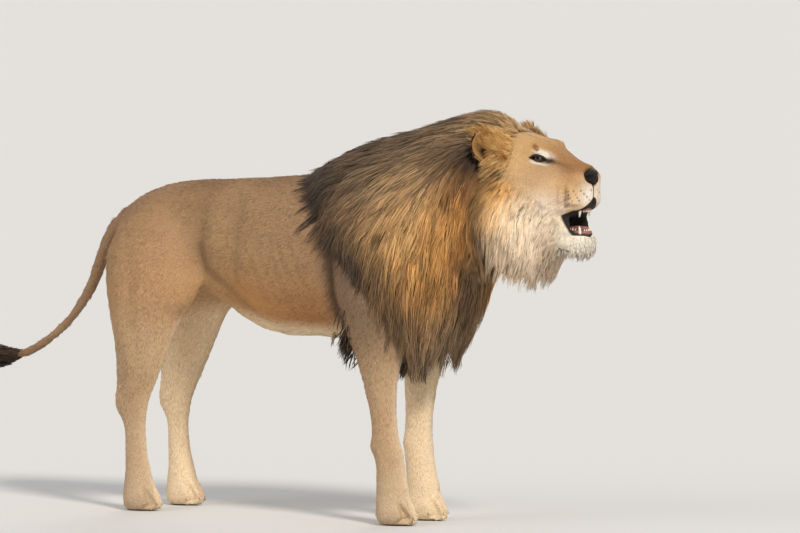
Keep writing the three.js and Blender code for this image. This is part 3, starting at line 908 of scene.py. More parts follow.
COAT = [
    (-560, 60, 900, 90, (0.30, 0.165, 0.082), 1),  # croup
    (-560, 150, 760, 110, (0.42, 0.245, 0.12), 1),  # rump
    (-450, 160, 620, 90, (0.52, 0.29, 0.135), 1),  # thigh
    (-330, 0, 960, 60, (0.19, 0.10, 0.045), 1.2),  # spine
    (-100, 0, 985, 60, (0.19, 0.10, 0.045), 1.2),
    (100, 0, 1010, 60, (0.17, 0.09, 0.04), 1.2),
    (-250, 130, 880, 90, (0.34, 0.20, 0.10), 1),  # upper flank
    (0, 170, 880, 100, (0.33, 0.19, 0.098), 1),
    (-200, 150, 760, 100, (0.42, 0.25, 0.12), 1),  # flank
    (0, 185, 740, 110, (0.39, 0.23, 0.113), 1),
    (-150, 130, 600, 80, (0.56, 0.245, 0.06), 1),
    (60, 150, 580, 80, (0.42, 0.175, 0.045), 1),
    (-250, 40, 560, 60, (0.42, 0.25, 0.13), 1),  # belly
    (-30, 0, 510, 60, (0.66, 0.48, 0.29), 1.4),
    (-470, 60, 480, 80, (0.74, 0.53, 0.31), 1),  # inside of the thigh
    (-560, 130, 420, 80, (0.46, 0.28, 0.15), 1),
    (-560, 110, 200, 90, (0.50, 0.33, 0.19), 1),
    (-540, 110, 40, 60, (0.56, 0.40, 0.25), 1),
    (230, 200, 720, 80, (0.26, 0.165, 0.10), 1),  # upper arm
    (270, 190, 600, 80, (0.25, 0.16, 0.098), 1.2),
    (290, 150, 450, 80, (0.48, 0.30, 0.16), 1),  # forearm
    (300, 60, 420, 60, (0.70, 0.50, 0.30), 1),
    (300, 110, 250, 90, (0.50, 0.32, 0.175), 1),
    (340, 110, 40, 70, (0.58, 0.42, 0.26), 1),
    (-720, 0, 760, 60, (0.30, 0.18, 0.095), 1),  # tail
    (-860, 0, 540, 90, (0.36, 0.22, 0.12), 1),
    (-1040, 0, 420, 60, (0.30, 0.17, 0.085), 1),
    (-1140, 0, 405, 40, (0.10, 0.055, 0.028), 1.4),
    (330, 150, 850, 110, (0.16, 0.09, 0.045), 1),  # under the mane: skin painted dark, as shade between the locks
    (500, 120, 900, 110, (0.17, 0.095, 0.045), 1),
    (500, 0, 1080, 90, (0.14, 0.08, 0.04), 1),
    (350, 0, 600, 100, (0.12, 0.065, 0.03), 1),
    (600, 60, 850, 80, (0.30, 0.17, 0.08), 1),
    (650, 50, 1115, 50, (0.50, 0.29, 0.13), 1),  # crown
    (720, 40, 1125, 45, (0.60, 0.36, 0.15), 1),  # forehead
    (700, 110, 1030, 45, (0.60, 0.355, 0.145), 1),  # side of the head
    (740, 120, 970, 45, (0.64, 0.40, 0.19), 1),  # cheek
    (680, 110, 930, 45, (0.80, 0.47, 0.18), 1.2),
    (790, 30, 1110, 30, (0.52, 0.29, 0.11), 1),  # between the brows
    (850, 20, 1075, 26, (0.36, 0.18, 0.065), 1.3),  # bridge of the nose
    (905, 20, 1045, 22, (0.32, 0.15, 0.05), 1.5),
    (812, 85, 1010, 32, (0.52, 0.32, 0.155), 1.1),  # below the eye
    (850, 72, 960, 30, (0.66, 0.40, 0.19), 1),
    (905, 62, 975, 22, (0.66, 0.38, 0.16), 1.3),  # whisker pad
    (915, 50, 935, 24, (0.80, 0.55, 0.31), 1.4),
    (830, 80, 890, 34, (0.94, 0.76, 0.55), 1.2),
    (770, 90, 870, 40, (0.96, 0.74, 0.48), 1.2),
    (700, 60, 850, 50, (0.90, 0.68, 0.43), 1),
    (900, 40, 810, 34, (0.90, 0.79, 0.62), 1.4),  # chin
    (930, 0, 800, 24, (0.92, 0.82, 0.66), 1.4),
]

MANE_TONES = [
    (40, 60, 965, 50, (0.05, 0.03, 0.018), 1.2),  # rear edge: dark hair, and below it a near-black strip that is partly painted shade of the fold behind the mane
    (130, 150, 925, 34, (0.018, 0.011, 0.007), 2.2),
    (215, 190, 820, 34, (0.018, 0.011, 0.007), 2.2),
    (255, 195, 750, 30, (0.02, 0.012, 0.008), 2),
    (285, 200, 700, 30, (0.03, 0.018, 0.011), 1.6),
    (150, 100, 1000, 60, (0.15, 0.093, 0.05), 1),
    (300, 100, 1060, 70, (0.14, 0.086, 0.043), 1),
    (450, 80, 1140, 70, (0.17, 0.105, 0.054), 1),
    (560, 60, 1170, 60, (0.27, 0.165, 0.083), 1),
    (640, 60, 1150, 50, (0.44, 0.27, 0.115), 1),
    (250, 210, 850, 60, (0.22, 0.125, 0.058), 1),  # side of the neck
    (350, 220, 900, 60, (0.37, 0.225, 0.105), 1),
    (450, 210, 960, 60, (0.46, 0.28, 0.13), 1),
    (440, 220, 830, 60, (0.80, 0.46, 0.17), 1.1),
    (490, 200, 700, 60, (0.66, 0.32, 0.09), 1),
    (400, 220, 620, 60, (0.25, 0.14, 0.062), 1),
    (310, 225, 680, 60, (0.15, 0.082, 0.038), 1),
    (330, 210, 560, 60, (0.15, 0.08, 0.036), 1),
    (430, 120, 500, 60, (0.34, 0.22, 0.12), 1),
    (300, 150, 470, 50, (0.10, 0.054, 0.024), 1),
    (570, 160, 1060, 40, (0.07, 0.036, 0.017), 1.6),  # behind the ear: dark hair, darkened further with painted shade under the ear
    (590, 170, 980, 40, (0.27, 0.12, 0.037), 1),
    (570, 190, 850, 50, (0.80, 0.38, 0.105), 1.2),
    (575, 180, 760, 45, (0.74, 0.36, 0.11), 1),
    (540, 0, 740, 70, (0.30, 0.17, 0.08), 1),
    (660, 166, 990, 24, (0.085, 0.038, 0.014), 4.5),  # painted shadow in the gap behind the ruff
    (657, 168, 910, 24, (0.05, 0.022, 0.009), 4.5),
    (653, 165, 830, 24, (0.045, 0.02, 0.009), 4.5),
    (646, 160, 750, 24, (0.06, 0.027, 0.011), 4.5),
    (690, 160, 950, 35, (0.78, 0.40, 0.105), 1.2),  # ruff
    (700, 160, 870, 40, (0.84, 0.52, 0.22), 1.2),
    (750, 140, 860, 40, (1.0, 0.81, 0.58), 1.5),
    (720, 140, 800, 45, (1.0, 0.77, 0.54), 1.2),
    (790, 100, 770, 45, (1.0, 0.79, 0.58), 1.5),
    (740, 60, 750, 45, (0.97, 0.73, 0.51), 1.2),
    (670, 100, 700, 45, (0.58, 0.39, 0.21), 1),
    (630, 150, 710, 35, (0.32, 0.18, 0.08), 1),
]

BLACK = np.array([0.022, 0.016, 0.013])
EYE_WHITE = (0.88, 0.80, 0.66)
PALE_FUR_AND_SUNLIGHT = (0.92, 0.71, 0.46)  # of the legs' inner sides: their pale fur, painted lighter as if in sunlight
EAR_BACK, EAR_RIM = (0.035, 0.02, 0.012), (0.66, 0.42, 0.18)
# The ear's cup is golden inside; the black of its hole is painted shade.
EAR_INSIDE, EAR_HOLE_SHADE = np.array([0.42, 0.22, 0.08]), np.array([0.02, 0.011, 0.007])


def lip_edge(x, y):
    """Height of the upper lip's edge, which rises to the cleft under the nose."""
    return np.interp(x, [800, 860, 905], [876, 890, 908]) + 36 * np.exp(-((y / 25) ** 2)) * ramp(x, 895, 925)


ACROSS = np.array([0.0, 1.0, 0.0])


def skin_facing(points, direction):
    """How far the skin nearest to each point faces a direction."""
    return nearest(SKIN, points)[1] @ direction


SPOTS = [  # how strong, centre, radii and tone of each marking about the muzzle
    (0.75, (905, 50, 990), (24, 22, 14), (0.42, 0.22, 0.085)),  # brown above the whisker pad
    (0.9, (946, 28, 950), (20, 20, 27), (0.95, 0.90, 0.80)),  # cream on its front
    (0.6, (890, 74, 940), (5, 14, 22), (0.22, 0.11, 0.05)),  # painted shade in the crease behind it
    (0.55, (908, 66, 924), (18, 16, 4), (0.28, 0.14, 0.07)),  # painted shade in the crease below it
    (0.6, (822, 92, 918), (44, 30, 34), (0.96, 0.78, 0.60)),  # cheek
]


def eye_marks(p):
    """Black lids, white above and below the eye, the brown spot over it, the tear line, the furrow."""
    x, y, z = p.T
    out, along, up = EYE_AXES[1]
    d = p - EYE
    a, b, c = d @ along, d @ up, d @ out
    front = c > 0
    patch = ((a - 12) / 21) ** 2 + ((b - 17 + 0.3 * a) / 10) ** 2
    yield 0.95 * front * np.exp(-0.5 * patch**1.5), EYE_WHITE
    under = np.abs(b + 14.5 + 0.05 * a - 0.006 * (a - 4) ** 2)
    yield front * np.exp(-0.5 * (under / 3.0) ** 2) * (1 - ramp(np.abs(a - 2), 22, 36)), EYE_WHITE
    spot = np.hypot((a + 11 + 0.2 * (b - 32)) / 9, (b - 33) / 14)
    yield 0.95 * front * (1 - ramp(spot, 0.5, 1.2)), (0.25, 0.11, 0.035)
    upper_lid, lower_lid = lid_heights(a)
    beyond = np.maximum(b - upper_lid - 3 * (1 - ramp(np.abs(a - EYE_MIDDLE), 14, 26)), lower_lid - b)
    yield front * (1 - ramp(beyond, 1.8, 4.5)) * (1 - ramp(np.abs(a - 3), 28, 36)), BLACK
    yield front * near(p, EYE + 25 * along - 5 * up + 12 * out, (11, 11, 6)), BLACK
    tear_place, tear_fall, tear_width = [16, 37, 62, 90], [-3, -6, -16, -30], [5, 4, 3.5, 7]
    tear = np.abs(b - np.interp(a, tear_place, tear_fall)) / np.interp(a, tear_place, tear_width)
    tear = np.exp(-0.5 * tear**2) * ramp(a, 14, 20) * (1 - ramp(a, 58, 96)) * (c > -45)
    yield tear * (1 - 0.45 * ramp(a, 34, 50)), (0.05, 0.026, 0.014)
    beside_nose = 0.55 * (c > -60) * np.exp(-0.5 * (((a - 66) / 15) ** 2 + ((b + 30) / 20) ** 2))
    yield beside_nose, (0.30, 0.15, 0.06)
    below = 0.40 * (c > -40) * np.exp(-0.5 * (((a - 2) / 34) ** 2 + ((b + 40) / 18) ** 2))
    yield below, (0.38, 0.235, 0.12)
    dashes = 0.65 + 0.35 * np.sin(x * 0.9 + 2 * np.sin(x * 0.23))
    furrow = np.exp(-0.5 * ((y - 20 - 0.03 * (x - 730)) / 3) ** 2) * ramp(z, 1085, 1100)
    yield 0.75 * furrow * dashes * ramp(x, 645, 680) * (1 - ramp(x, 790, 830)), (0.12, 0.06, 0.025)


def muzzle_marks(p):
    """Markings about the whisker pad, with painted shade in its creases, the rows of whisker spots, and the
    fur at the mouth's corner.
    """
    for strength, centre, radii, tone in SPOTS:
        yield strength * near(p, centre, radii), tone
    for row, height in enumerate((967, 958, 949, 940)):
        ahead = 940 - 12.0 * np.arange(5) + 3 * row
        spots, _ = dropped(np.stack([ahead, 120 + 0 * ahead, height - 0.8 * np.arange(5)], 1), -ACROSS)
        for k, spot in enumerate(spots):
            size = 1.9 + 0.4 * math.sin(3 * k + 5 * row)
            distance = np.linalg.norm(p - spot, axis=1)
            yield 0.9 * np.exp(-0.5 * (distance / size) ** 2), (0.07, 0.035, 0.018)
    yield 0.5 * near(p, (852, 76, 872), (10, 20, 8)), (0.16, 0.09, 0.05)


def body_marks(p):
    """Painted shade in the folds of arm and flank, along the thigh's groove and the last rib, and painted
    golden light on the fold before the knee.
    """
    y = p[:, 1]
    outer_side = ramp(y, 40, 90)
    yield 0.85 * crease(p, ARM_FOLD, 13) * ramp(y, 100, 150), (0.05, 0.028, 0.014)
    yield 0.4 * crease(p, FLANK_FOLD, 12) * outer_side, (0.14, 0.075, 0.035)
    yield 0.25 * crease(p, THIGH_LINE, 26) * outer_side, (0.17, 0.095, 0.048)
    yield 0.15 * crease(p, RIB_LINE, 22) * outer_side, (0.18, 0.10, 0.052)
    # Painted light: a golden glow on the fold of skin from the flank to the knee.
    yield 0.45 * near(p, (-300, 110, 625), (50, 60, 22)), (0.62, 0.36, 0.15)


def in_mouth(points, p):
    """How far each point is on the black lips, or inside the mouth, which is painted black as shade; p are
    the points on the left side.
    """
    x, y, z = p.T
    edge = lip_edge(x, y)
    corner = 864 + 0.55 * np.maximum(886 - z, 0)
    inside = ramp(x, corner, corner + 7)
    # Inside the mouth, the skin that faces inward and the skin at its back are painted black as shade.
    cavity = (x > 785) & (y < 75) & (z > 836) & (z < edge + 4)
    inward = -np.sign(points[cavity, 1]) * skin_facing(points[cavity], ACROSS)
    inside[cavity] = np.maximum(inside[cavity], ramp(inward, -0.15, 0.2))
    throat = (1 - ramp(y[cavity], 30, 38)) * (1 - ramp(x[cavity], 864, 872))
    inside[cavity] = np.maximum(inside[cavity], throat)
    return inside * (1 - ramp(z, edge + 1, edge + 4)) * ramp(z, 836, 840)


def coat_colour(points):
    """The coat's colour with its markings, shared by the skin and the hair."""
    colour = coloured(points, COAT)
    p, _ = mirrored(points)
    x, y, z = p.T
    # The legs' inner sides: pale fur, painted lighter as if in sunlight.
    inner_legs = (1 - ramp(z, 540, 620)) * (1 - ramp(y, 85, 135)) * (x < 480) * (x > -670)
    dark_and_pale = [(in_mouth(points, p), BLACK), (0.8 * inner_legs, PALE_FUR_AND_SUNLIGHT)]
    for marks in (eye_marks(p), muzzle_marks(p), body_marks(p), dark_and_pale):
        for share, tone in marks:
            colour = colour + np.clip(share, 0, 1)[:, None] * (np.array(tone) - colour)
    return np.clip(colour, 0, 1)


def ear_colour(points, colour):
    """Black backs, golden rims, and a golden cup with painted shade that darkens it to the hole at its lower
    front.
    """
    for side in (-1, 1):
        ahead, across, up = ear_place(points, side)
        r = np.hypot(across / 42, up / 52)
        ear = (r < 1.25) & (np.abs(ahead) < 50) & (points[:, 1] * side > 88)
        back = ear & (skin_facing(points, ear_frame(side)[1]) < 0)
        cup = ear & ~back & (r < 0.84)
        rim = ear & ~back & (r >= 0.84)
        colour[back] = EAR_BACK
        colour[rim] = EAR_RIM
        hole = ramp(1 - np.hypot((across[cup] + 8) / 34, (up[cup] + 10) / 42), 0, 0.75)[:, None]
        colour[cup] = (1 - hole) * EAR_INSIDE + hole * EAR_HOLE_SHADE
    return colour


skin_colour = ear_colour(skin_points, coat_colour(skin_points))
paint(skin, skin_colour)
paint_lie(skin, skin_points, skin_normals, COAT_FLOW)
piece("skin", skin, fur_material("short_coat_skin", 0.72, 760, 8, 0.36, 0.5), FLESH)


# Eyes


def sphere_grid(around, along):
    """Points of a unit sphere about +Z from pole to pole, and its triangles."""
    rings = [(0.0, 0.0, 1.0)]
    for i in range(1, along):
        t = math.pi * i / along
        for j in range(around):
            f = 2 * math.pi * j / around
            rings.append((math.sin(t) * math.cos(f), math.sin(t) * math.sin(f), math.cos(t)))
    rings.append((0.0, 0.0, -1.0))
    tris = [(0, 1 + j, 1 + (j + 1) % around) for j in range(around)]
    for i in range(along - 2):
        a, b = 1 + i * around, 1 + (i + 1) * around
        for j in range(around):
            k = (j + 1) % around
            tris += [(a + j, b + j, b + k), (a + j, b + k, a + k)]
    last = len(rings) - 1
    a = 1 + (along - 2) * around
    tris += [(last, a + (j + 1) % around, a + j) for j in range(around)]
    return np.array(rings), np.array(tris)


PUPIL_RADIUS, IRIS_RADIUS = 5.2, 10.4
IRIS_EDGE = (9.0, 11.6)  # radii between which the iris darkens
PUPIL_TONE, EYEBALL_TONE = (0.002, 0.002, 0.002), (0.035, 0.018, 0.012)
# The iris is a lion's amber, painted darker as the shade under the upper lid.
IRIS_TONE, IRIS_EDGE_TONE = (0.15, 0.062, 0.016), (0.03, 0.015, 0.008)
eye_material = material("wet_eye", 0.06, attribute="Coat", specular=0.12, scale=900, mottle=0.3, coat=0.25)
lid_material = material("dark_eyelid", 0.5, colour=(0.014, 0.010, 0.008), bump=0.5, scale=900, specular=0.3)


def build_eye(side_name, side):
    out, along, up = EYE_AXES[side]
    ball, tris = sphere_grid(48, 48)
    gaze = unit(out - 0.36 * along + 0.13 * up)
    right = unit(np.cross(up, gaze))
    above = np.cross(gaze, right)
    angle = np.arccos(np.clip(ball[:, 2], -1, 1))
    radius = EYE_RADIUS + 1.6 * (1 - ramp(angle, 0.35, 0.62))
    local = ball * radius[:, None]
    points = EYE * [1, side, 1] + local[:, :1] * right + local[:, 1:2] * above + local[:, 2:] * gaze
    r = EYE_RADIUS * np.sin(np.minimum(angle, math.pi / 2))
    colour = np.tile(EYEBALL_TONE, (len(ball), 1))
    streak = 0.85 + 0.15 * np.sin(19 * np.arctan2(ball[:, 1], ball[:, 0]))
    iris = np.array(IRIS_TONE) * streak[:, None]
    colour = np.where((r < IRIS_RADIUS)[:, None], iris, colour)
    colour = np.where(((r > IRIS_EDGE[0]) & (r < IRIS_EDGE[1]))[:, None], IRIS_EDGE_TONE, colour)
    colour = np.where((r < PUPIL_RADIUS)[:, None], PUPIL_TONE, colour)
    mesh = mesh_of(f"eyeball_{side_name}", world(points), tris)
    paint(mesh, colour)
    piece(f"eyeball_{side_name}", mesh, eye_material, [f"eye_{side_name}"])


def build_lid_rim(side_name, side):
    """The wet black rim of the lids: a tube round the opening, thicker above, with a long inner corner."""
    out, along, up = EYE_AXES[side]
    centre = EYE * [1, side, 1]
    t = np.concatenate([np.linspace(-1, 1, 30), np.linspace(1, -1, 30)[1:-1]])
    upper_half = np.arange(len(t)) < 30
    reach = EYE_MIDDLE + EYE_OPENING * t
    upper, lower = lid_heights(reach)
    path = np.stack([reach, np.where(upper_half, upper, lower)], 1)
    path[:, 0] += 12 * ramp(t, 0.75, 1) ** 2 - 4 * ramp(-t, 0.7, 1) ** 2
    path[:, 1] -= 3.0 * ramp(t, 0.7, 1) ** 2
    shell = np.sqrt(np.maximum((EYE_RADIUS + 1.9) ** 2 - (path**2).sum(1), 30))
    shell = np.maximum(shell, EYE_RADIUS + 1.0 - (path**2).sum(1) / 84)
    spine = centre + path[:, :1] * along + path[:, 1:] * up + shell[:, None] * out
    radius = np.where(upper_half, 2.2, 1.3) * (1 - 0.4 * np.abs(t) ** 3)
    tube(f"lid_{side_name}", spine, radius, lid_material, closed=True)


def tube_mesh(spine, radius, closed=False, sides=8):
    """A round tube along a line of points in the lion's coordinates, of one radius or one for each point."""
    count = len(spine)
    radius = np.broadcast_to(np.asarray(radius, float), count)
    if closed:
        tangent_line = unit(np.roll(spine, -1, 0) - np.roll(spine, 1, 0))
    else:
        tangent_line = unit(np.gradient(spine, axis=0))
    first = unit(np.cross(tangent_line, [0.1, 0.3, 1.0]))
    second = np.cross(tangent_line, first)
    f = np.linspace(0, 2 * math.pi, sides, endpoint=False)
    ring = np.cos(f)[None, :, None] * first[:, None] + np.sin(f)[None, :, None] * second[:, None]
    points = (spine[:, None] + radius[:, None, None] * ring).reshape(-1, 3)
    tris = []
    for i in range(count if closed else count - 1):
        a, b = i * sides, ((i + 1) % count) * sides
        for j in range(sides):
            k = (j + 1) % sides
            tris += [(a + j, a + k, b + k), (a + j, b + k, b + j)]
    if not closed:
        points = np.vstack([points, spine[:1], spine[-1:]])
        last = (count - 1) * sides
        tris += [(len(points) - 2, (j + 1) % sides, j) for j in range(sides)]
        tris += [(len(points) - 1, last + j, last + (j + 1) % sides) for j in range(sides)]
    return mesh_of("tube", world(points), np.array(tris))


def tube(name, spine, radius, stuff, closed=False, sides=8):
    return piece(name, tube_mesh(spine, radius, closed, sides), stuff)


for side_name, side in SIDES.items():
    build_eye(side_name, side)
    build_lid_rim(side_name, side)


# Nose, mouth and whiskers

NOSE, NOSE_HALF, NOSE_LEAN = np.array([937.0, 0.0, 1003.0]), 43.0, 0.20
nose_material = material("wet_nose", 0.48, colour=(0.009, 0.007, 0.006), bump=1.0, scale=1800, specular=0.32)
lip_material = material("wet_lip", 0.4, colour=(0.016, 0.011, 0.010), bump=0.8, scale=700)
gum_material = material("wet_gum", 0.3, colour=(0.34, 0.14, 0.12), bump=0.5, scale=260, mottle=0.9)
tongue_material = material("tongue_wet", 0.35, colour=(0.34, 0.12, 0.105), bump=0.8, scale=1500, mottle=0.3)
tooth_material = material("tooth_enamel", 0.25, colour=(0.80, 0.71, 0.52), bump=0.1, scale=300, mottle=0.15)


def build_nose():
    ball, tris = sphere_grid(96, 72)
    c, a, b = ball[:, 2], ball[:, 0], ball[:, 1]
    height = 22 * b
    narrow = np.clip((height + 27) / 34, 0.14, 1) - 0.2 * ramp(height, 8, 22)
    across = NOSE_HALF * a * narrow
    height = height * (1 - 0.5 * (across / NOSE_HALF) ** 2 * (height > 0)) - 3 * ramp(np.abs(across), 16, 36)
    ahead = 13 * np.sign(c) * np.abs(c) ** 0.4
    root = 1 - 0.5 * ramp(-c, 0, 0.8)  # narrower where it is set in the muzzle
    across, height = across * root, height * root
    side = np.abs(across)
    front = ramp(ahead, 0, 8)
    # Nostrils: a round pit that runs out to the side as a slit.
    pit = np.exp(-0.5 * (((side - 18) / 6.0) ** 2 + ((height + 1) / 4.6) ** 2))
    slit = np.exp(-0.5 * ((height - 1 - 0.18 * (side - 18)) / 2.2) ** 2) * ramp(side, 18, 24)
    ahead = ahead - front * (11 * pit + 5.5 * slit)
    wing = np.exp(-0.5 * (((side - 28) / 6) ** 2 + ((height + 7) / 4) ** 2))
    across = across * (1 + 0.05 * wing)
    ahead = ahead + front * 1.5 * wing
    ahead = ahead - front * 2.0 * np.exp(-0.5 * (across / 1.6) ** 2) * (1 - ramp(height, 8, 16))
    ahead = ahead - 3 * ramp(height, 6, 22) - 3 * ramp(-height, 0, 20) - 17 * ramp(side, 5, NOSE_HALF)
    x = ahead * math.cos(NOSE_LEAN) - height * math.sin(NOSE_LEAN)
    z = height * math.cos(NOSE_LEAN) + ahead * math.sin(NOSE_LEAN)
    points = NOSE + np.stack([x, across, z], 1)
    mesh = mesh_of("nose_leather", world(points), tris)
    piece("nose_leather", mesh, nose_material, ["nose"])
    spine = np.array([[946 - 2 * t, 0, 984 - 50 * t] for t in np.linspace(0, 1, 12)])
    spine[:, 0] = [nearest_front(z) - 0.4 for z in spine[:, 2]]
    tube("philtrum", spine, np.linspace(2.2, 0.9, 12), nose_material)


def nearest_front(z):
    """How far forward the skin reaches at a height on the middle line."""
    strip = skin_points[(np.abs(skin_points[:, 1]) < 4) & (np.abs(skin_points[:, 2] - z) < 4)]
    return strip[:, 0].max()


def jaw_arch(angle, half, front, back=858.0):
    """x and y on the arch of the teeth, at an angle from its front, which is 0."""
    return back + (front - back) * np.cos(angle) ** 0.8, half * np.sin(angle)


def build_mouth():
    """Tongue, gums and lower lip, in the mouth that the skin leaves open."""
    ball, tris = sphere_grid(40, 30)
    x = 884 + 34 * ball[:, 0]
    y = 26 * ball[:, 1] * (1 - 0.25 * ramp(ball[:, 0], 0.2, 1))
    groove = 3 * np.exp(-0.5 * (y / 3) ** 2) * (ball[:, 2] > 0)
    z = 853 + 11 * ball[:, 2] - groove + 4 * ramp(ball[:, 0], 0.3, 1)
    mesh = mesh_of("tongue_surface", world(np.stack([x, y, z], 1)), tris)
    piece("tongue_surface", mesh, tongue_material, ["tongue"])
    angle = np.linspace(-1.35, 1.35, 60)
    thick = (6.5 + 0.8 * np.sin(angle * 31)) * (1 - 0.5 * ramp(np.abs(angle), 1.0, 1.35))
    for jaw, half, front, height, rise in (("lower", 33, 920, 845, 2), ("upper", 31, 918, 915, -7)):
        x, y = jaw_arch(angle, half, front)
        tube(f"{jaw}_gum", np.stack([x, y, height + rise * np.abs(angle)], 1), thick, gum_material)
    # The rim of the lower lip, dark and notched.
    angle = np.linspace(-1.45, 1.45, 90)
    x, y = jaw_arch(angle, 42, 923, 852.0)
    on, _ = dropped(np.stack([x, y, 862 + 0 * x], 1), np.array([0.0, 0.0, -1.0]))
    notches = 0.7 * np.sin(angle * 40) + 0.5 * np.sin(angle * 23 + 1)
    tube("lower_lip", on, (3.6 + notches) * (1 - 0.3 * ramp(np.abs(angle), 1.1, 1.45)), lip_material)


def build_teeth():
    """Fangs and molars on either side, and six incisors in each jaw between them."""
    for side_name, side in SIDES.items():
        t = np.linspace(0, 1, 14)
        spine = np.stack([908 + 4 * t - 7 * t**2, side * (25 + 2 * t - 3 * t**2), 842 + 23 * t], 1)
        thick = 4.6 * np.sqrt(1 - t**1.5) + 0.25
        made = tube(f"lower_fang_{side_name}", spine, thick, tooth_material, sides=14)
        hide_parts(f"fang_{side_name}")
        spine = np.stack([909 + 3 * t - 6 * t**2, side * (26 + 2 * t - 3 * t**2), 916 - 27 * t], 1)
        tube(f"upper_fang_{side_name}", spine, 0.95 * thick, tooth_material, sides=14)
        for k, (around, tall) in enumerate(((1.02, 9), (1.17, 12), (1.29, 10))):
            x, y = jaw_arch(side * around, 33, 920)
            t = np.linspace(0, 1, 6)
            spine = np.stack([x + t, y + 0 * t, 845 + (tall + 3) * t], 1)
            tube(f"molar_{side_name}_{k + 1}", spine, 4.2 * (1 - 0.85 * t), tooth_material, sides=10)
    t = np.linspace(0, 1, 6)
    for k in range(6):
        around = -0.46 + 0.184 * k
        for jaw, front, height, way in (("lower", 921, 847, 1), ("upper", 919, 912, -1)):
            x, y = jaw_arch(around, 33, front)
            spine = np.stack([x + 1.5 * t, y + 0 * t, height + way * 9 * t], 1)
            tube(f"{jaw}_incisor_{k + 1}", spine, 2.6 * np.sqrt(1 - 0.9 * t**2), tooth_material)


def build_whiskers():
    whisker_material = material("whisker", 0.4, colour=(0.85, 0.82, 0.76), bump=0.05, scale=200, mottle=0.1)
    chance = np.random.default_rng(3)
    for side_name, side in SIDES.items():
        hairs = []
        for row, height in enumerate((962, 952, 943)):
            for k in range(4):
                root = np.array([926 - 10 * k + 3 * row, 60.0 * side, height - 2.0 * k])
                on, normal, _ = nearest(SKIN, root[None])
                length = chance.uniform(50, 95) * (0.7 + 0.12 * k)
                level = chance.uniform(-0.35, 0.05) - 0.1 * row
                way = unit(np.array([-0.25 - 0.2 * k, side, level]) + chance.normal(0, 0.12, 3))
                t = np.linspace(0, 1, 9)[:, None]
                bend = np.array([-0.35, 0.0, -0.30 - 0.1 * chance.random()])
                spine = on[0] - normal[0] * 2 + way * t * length + bend * t**2 * length * 0.6
                hairs.append(tube_mesh(spine, 0.30 * (1 - 0.8 * t[:, 0]), sides=4))
        name = f"whiskers_{side_name}"
        piece(name, merged(name, hairs), whisker_material)


build_nose()
build_mouth()
build_teeth()
build_whiskers()


# Hair: closed tapered strands of three sides, gathered in locks that follow the lie of the coat

rng = np.random.default_rng(7)  # shared by all the hair, in the order in which it is built


def tree_of(name):
    solid = joined([name])
    return BVHTree.FromPolygons(lion(arrays(solid)).tolist(), triangles(solid).tolist())


mane_tree, ruff_tree = tree_of("mane"), tree_of("ruff")
outer_centres = outer_points[outer_tris].mean(1)
on_head = nearest(SKIN, outer_centres)[2] < 16  # where the outer surface lies close over the skin


def normals_at(points, tris):
    """The normal of each triangle."""
    a, b, c = (points[tris[:, k]] for k in range(3))
    return unit(np.cross(b - a, c - a))


def scattered(points, tris, density, count):
    """Random places on the surface, as dense as density(centres) says, with the surface's normals."""
    a, b, c = (points[tris[:, k]] for k in range(3))
    area = np.linalg.norm(np.cross(b - a, c - a), axis=1) / 2
    weight = area * density((a + b + c) / 3)
    picked = np.sort(rng.choice(len(tris), count, p=weight / weight.sum()))
    u, v = rng.random((2, count, 1))
    flip = u + v > 1
    u, v = np.where(flip, 1 - u, u), np.where(flip, 1 - v, v)
    places = a[picked] * (1 - u - v) + b[picked] * u + c[picked] * v
    return places, normals_at(points, tris)[picked]


REACH = 12.0  # how near the outer surface is to the solid of its own hair
STEPS_BACK = 5
LINE_POINTS = 8  # on the centre line of each lock
ANY_PHASE = 6.3  # about a full turn


def upstream(points, normals, distance, field, tree):
    """Moves the points back along the lie of the hair, as far as they stay on the given solid."""
    place, normal = points.copy(), normals.copy()
    for _ in range(STEPS_BACK):
        along = unit(tangent(lie(place, field), normal))
        on, normal_there, _ = nearest(OUTER, place - along * (distance / STEPS_BACK)[:, None])
        still = (nearest(tree, on)[2] < REACH)[:, None]
        place, normal = np.where(still, on, place), np.where(still, normal_there, normal)
    return place, normal


def grow(roots, normals, length, field, depth, lift, wander=0.12):
    """Centre lines that start at a depth below the outer surface, follow the lie of the hair over it, and
    end at a lift above it. Where the surface turns under, they hang free."""
    lines, facing = [], []
    place, normal = roots.copy(), normals.copy()
    turn = rng.normal(0, wander, (len(roots), 3))
    for step in range(LINE_POINTS):
        t = step / (LINE_POINTS - 1)
        rise = -depth * (1 - t) ** 2 + lift * t**1.5
        lines.append(place + normal * rise[:, None])
        facing.append(normal)
        if step == LINE_POINTS - 1:
            break
        flow = lie(place, field) + turn
        along = unit(tangent(flow, normal) + 0.15 * flow)
        under = ramp(-normal[:, 2], 0.25, 0.75)[:, None]
        along = unit(along * (1 - under) + unit(flow) * under)
        free = place + along * (length / (LINE_POINTS - 1))[:, None]
        on, normal_there, _ = nearest(OUTER, free)
        place = on * (1 - under) + free * under
        normal = unit(normal * under + normal_there * (1 - under) + 0.35 * normal)
    return np.stack(lines, 1), np.stack(facing, 1)


def at(lines, t):
    """Points of the lines at the fractions t of their length."""
    steps = lines.shape[1] - 1
    place = np.clip(t, 0, 1) * steps
    low = np.minimum(place.astype(int), steps - 1)
    share = (place - low)[..., None]
    rows = np.arange(len(lines))[:, None]
    return lines[rows, low] * (1 - share) + lines[rows, low + 1] * share


# Strands by length: where along it each has its rings, and how thick it is there.
LONG = (np.array([0.0, 0.10, 0.42, 0.78, 1.0]), np.array([0.6, 1.0, 0.65]))
SHORT = (np.array([0.0, 0.25, 0.68, 1.0]), np.array([0.9, 0.8]))
STAGGER = 0.35  # how much shorter than its lock a strand may be

# Strands: centre points, side and outward directions and thickness, each one's lock, how far along the
# lock its points are, the normals of the coat there, and its kind.
Strands = namedtuple("Strands", "centre side out thick lock t skinward kind")


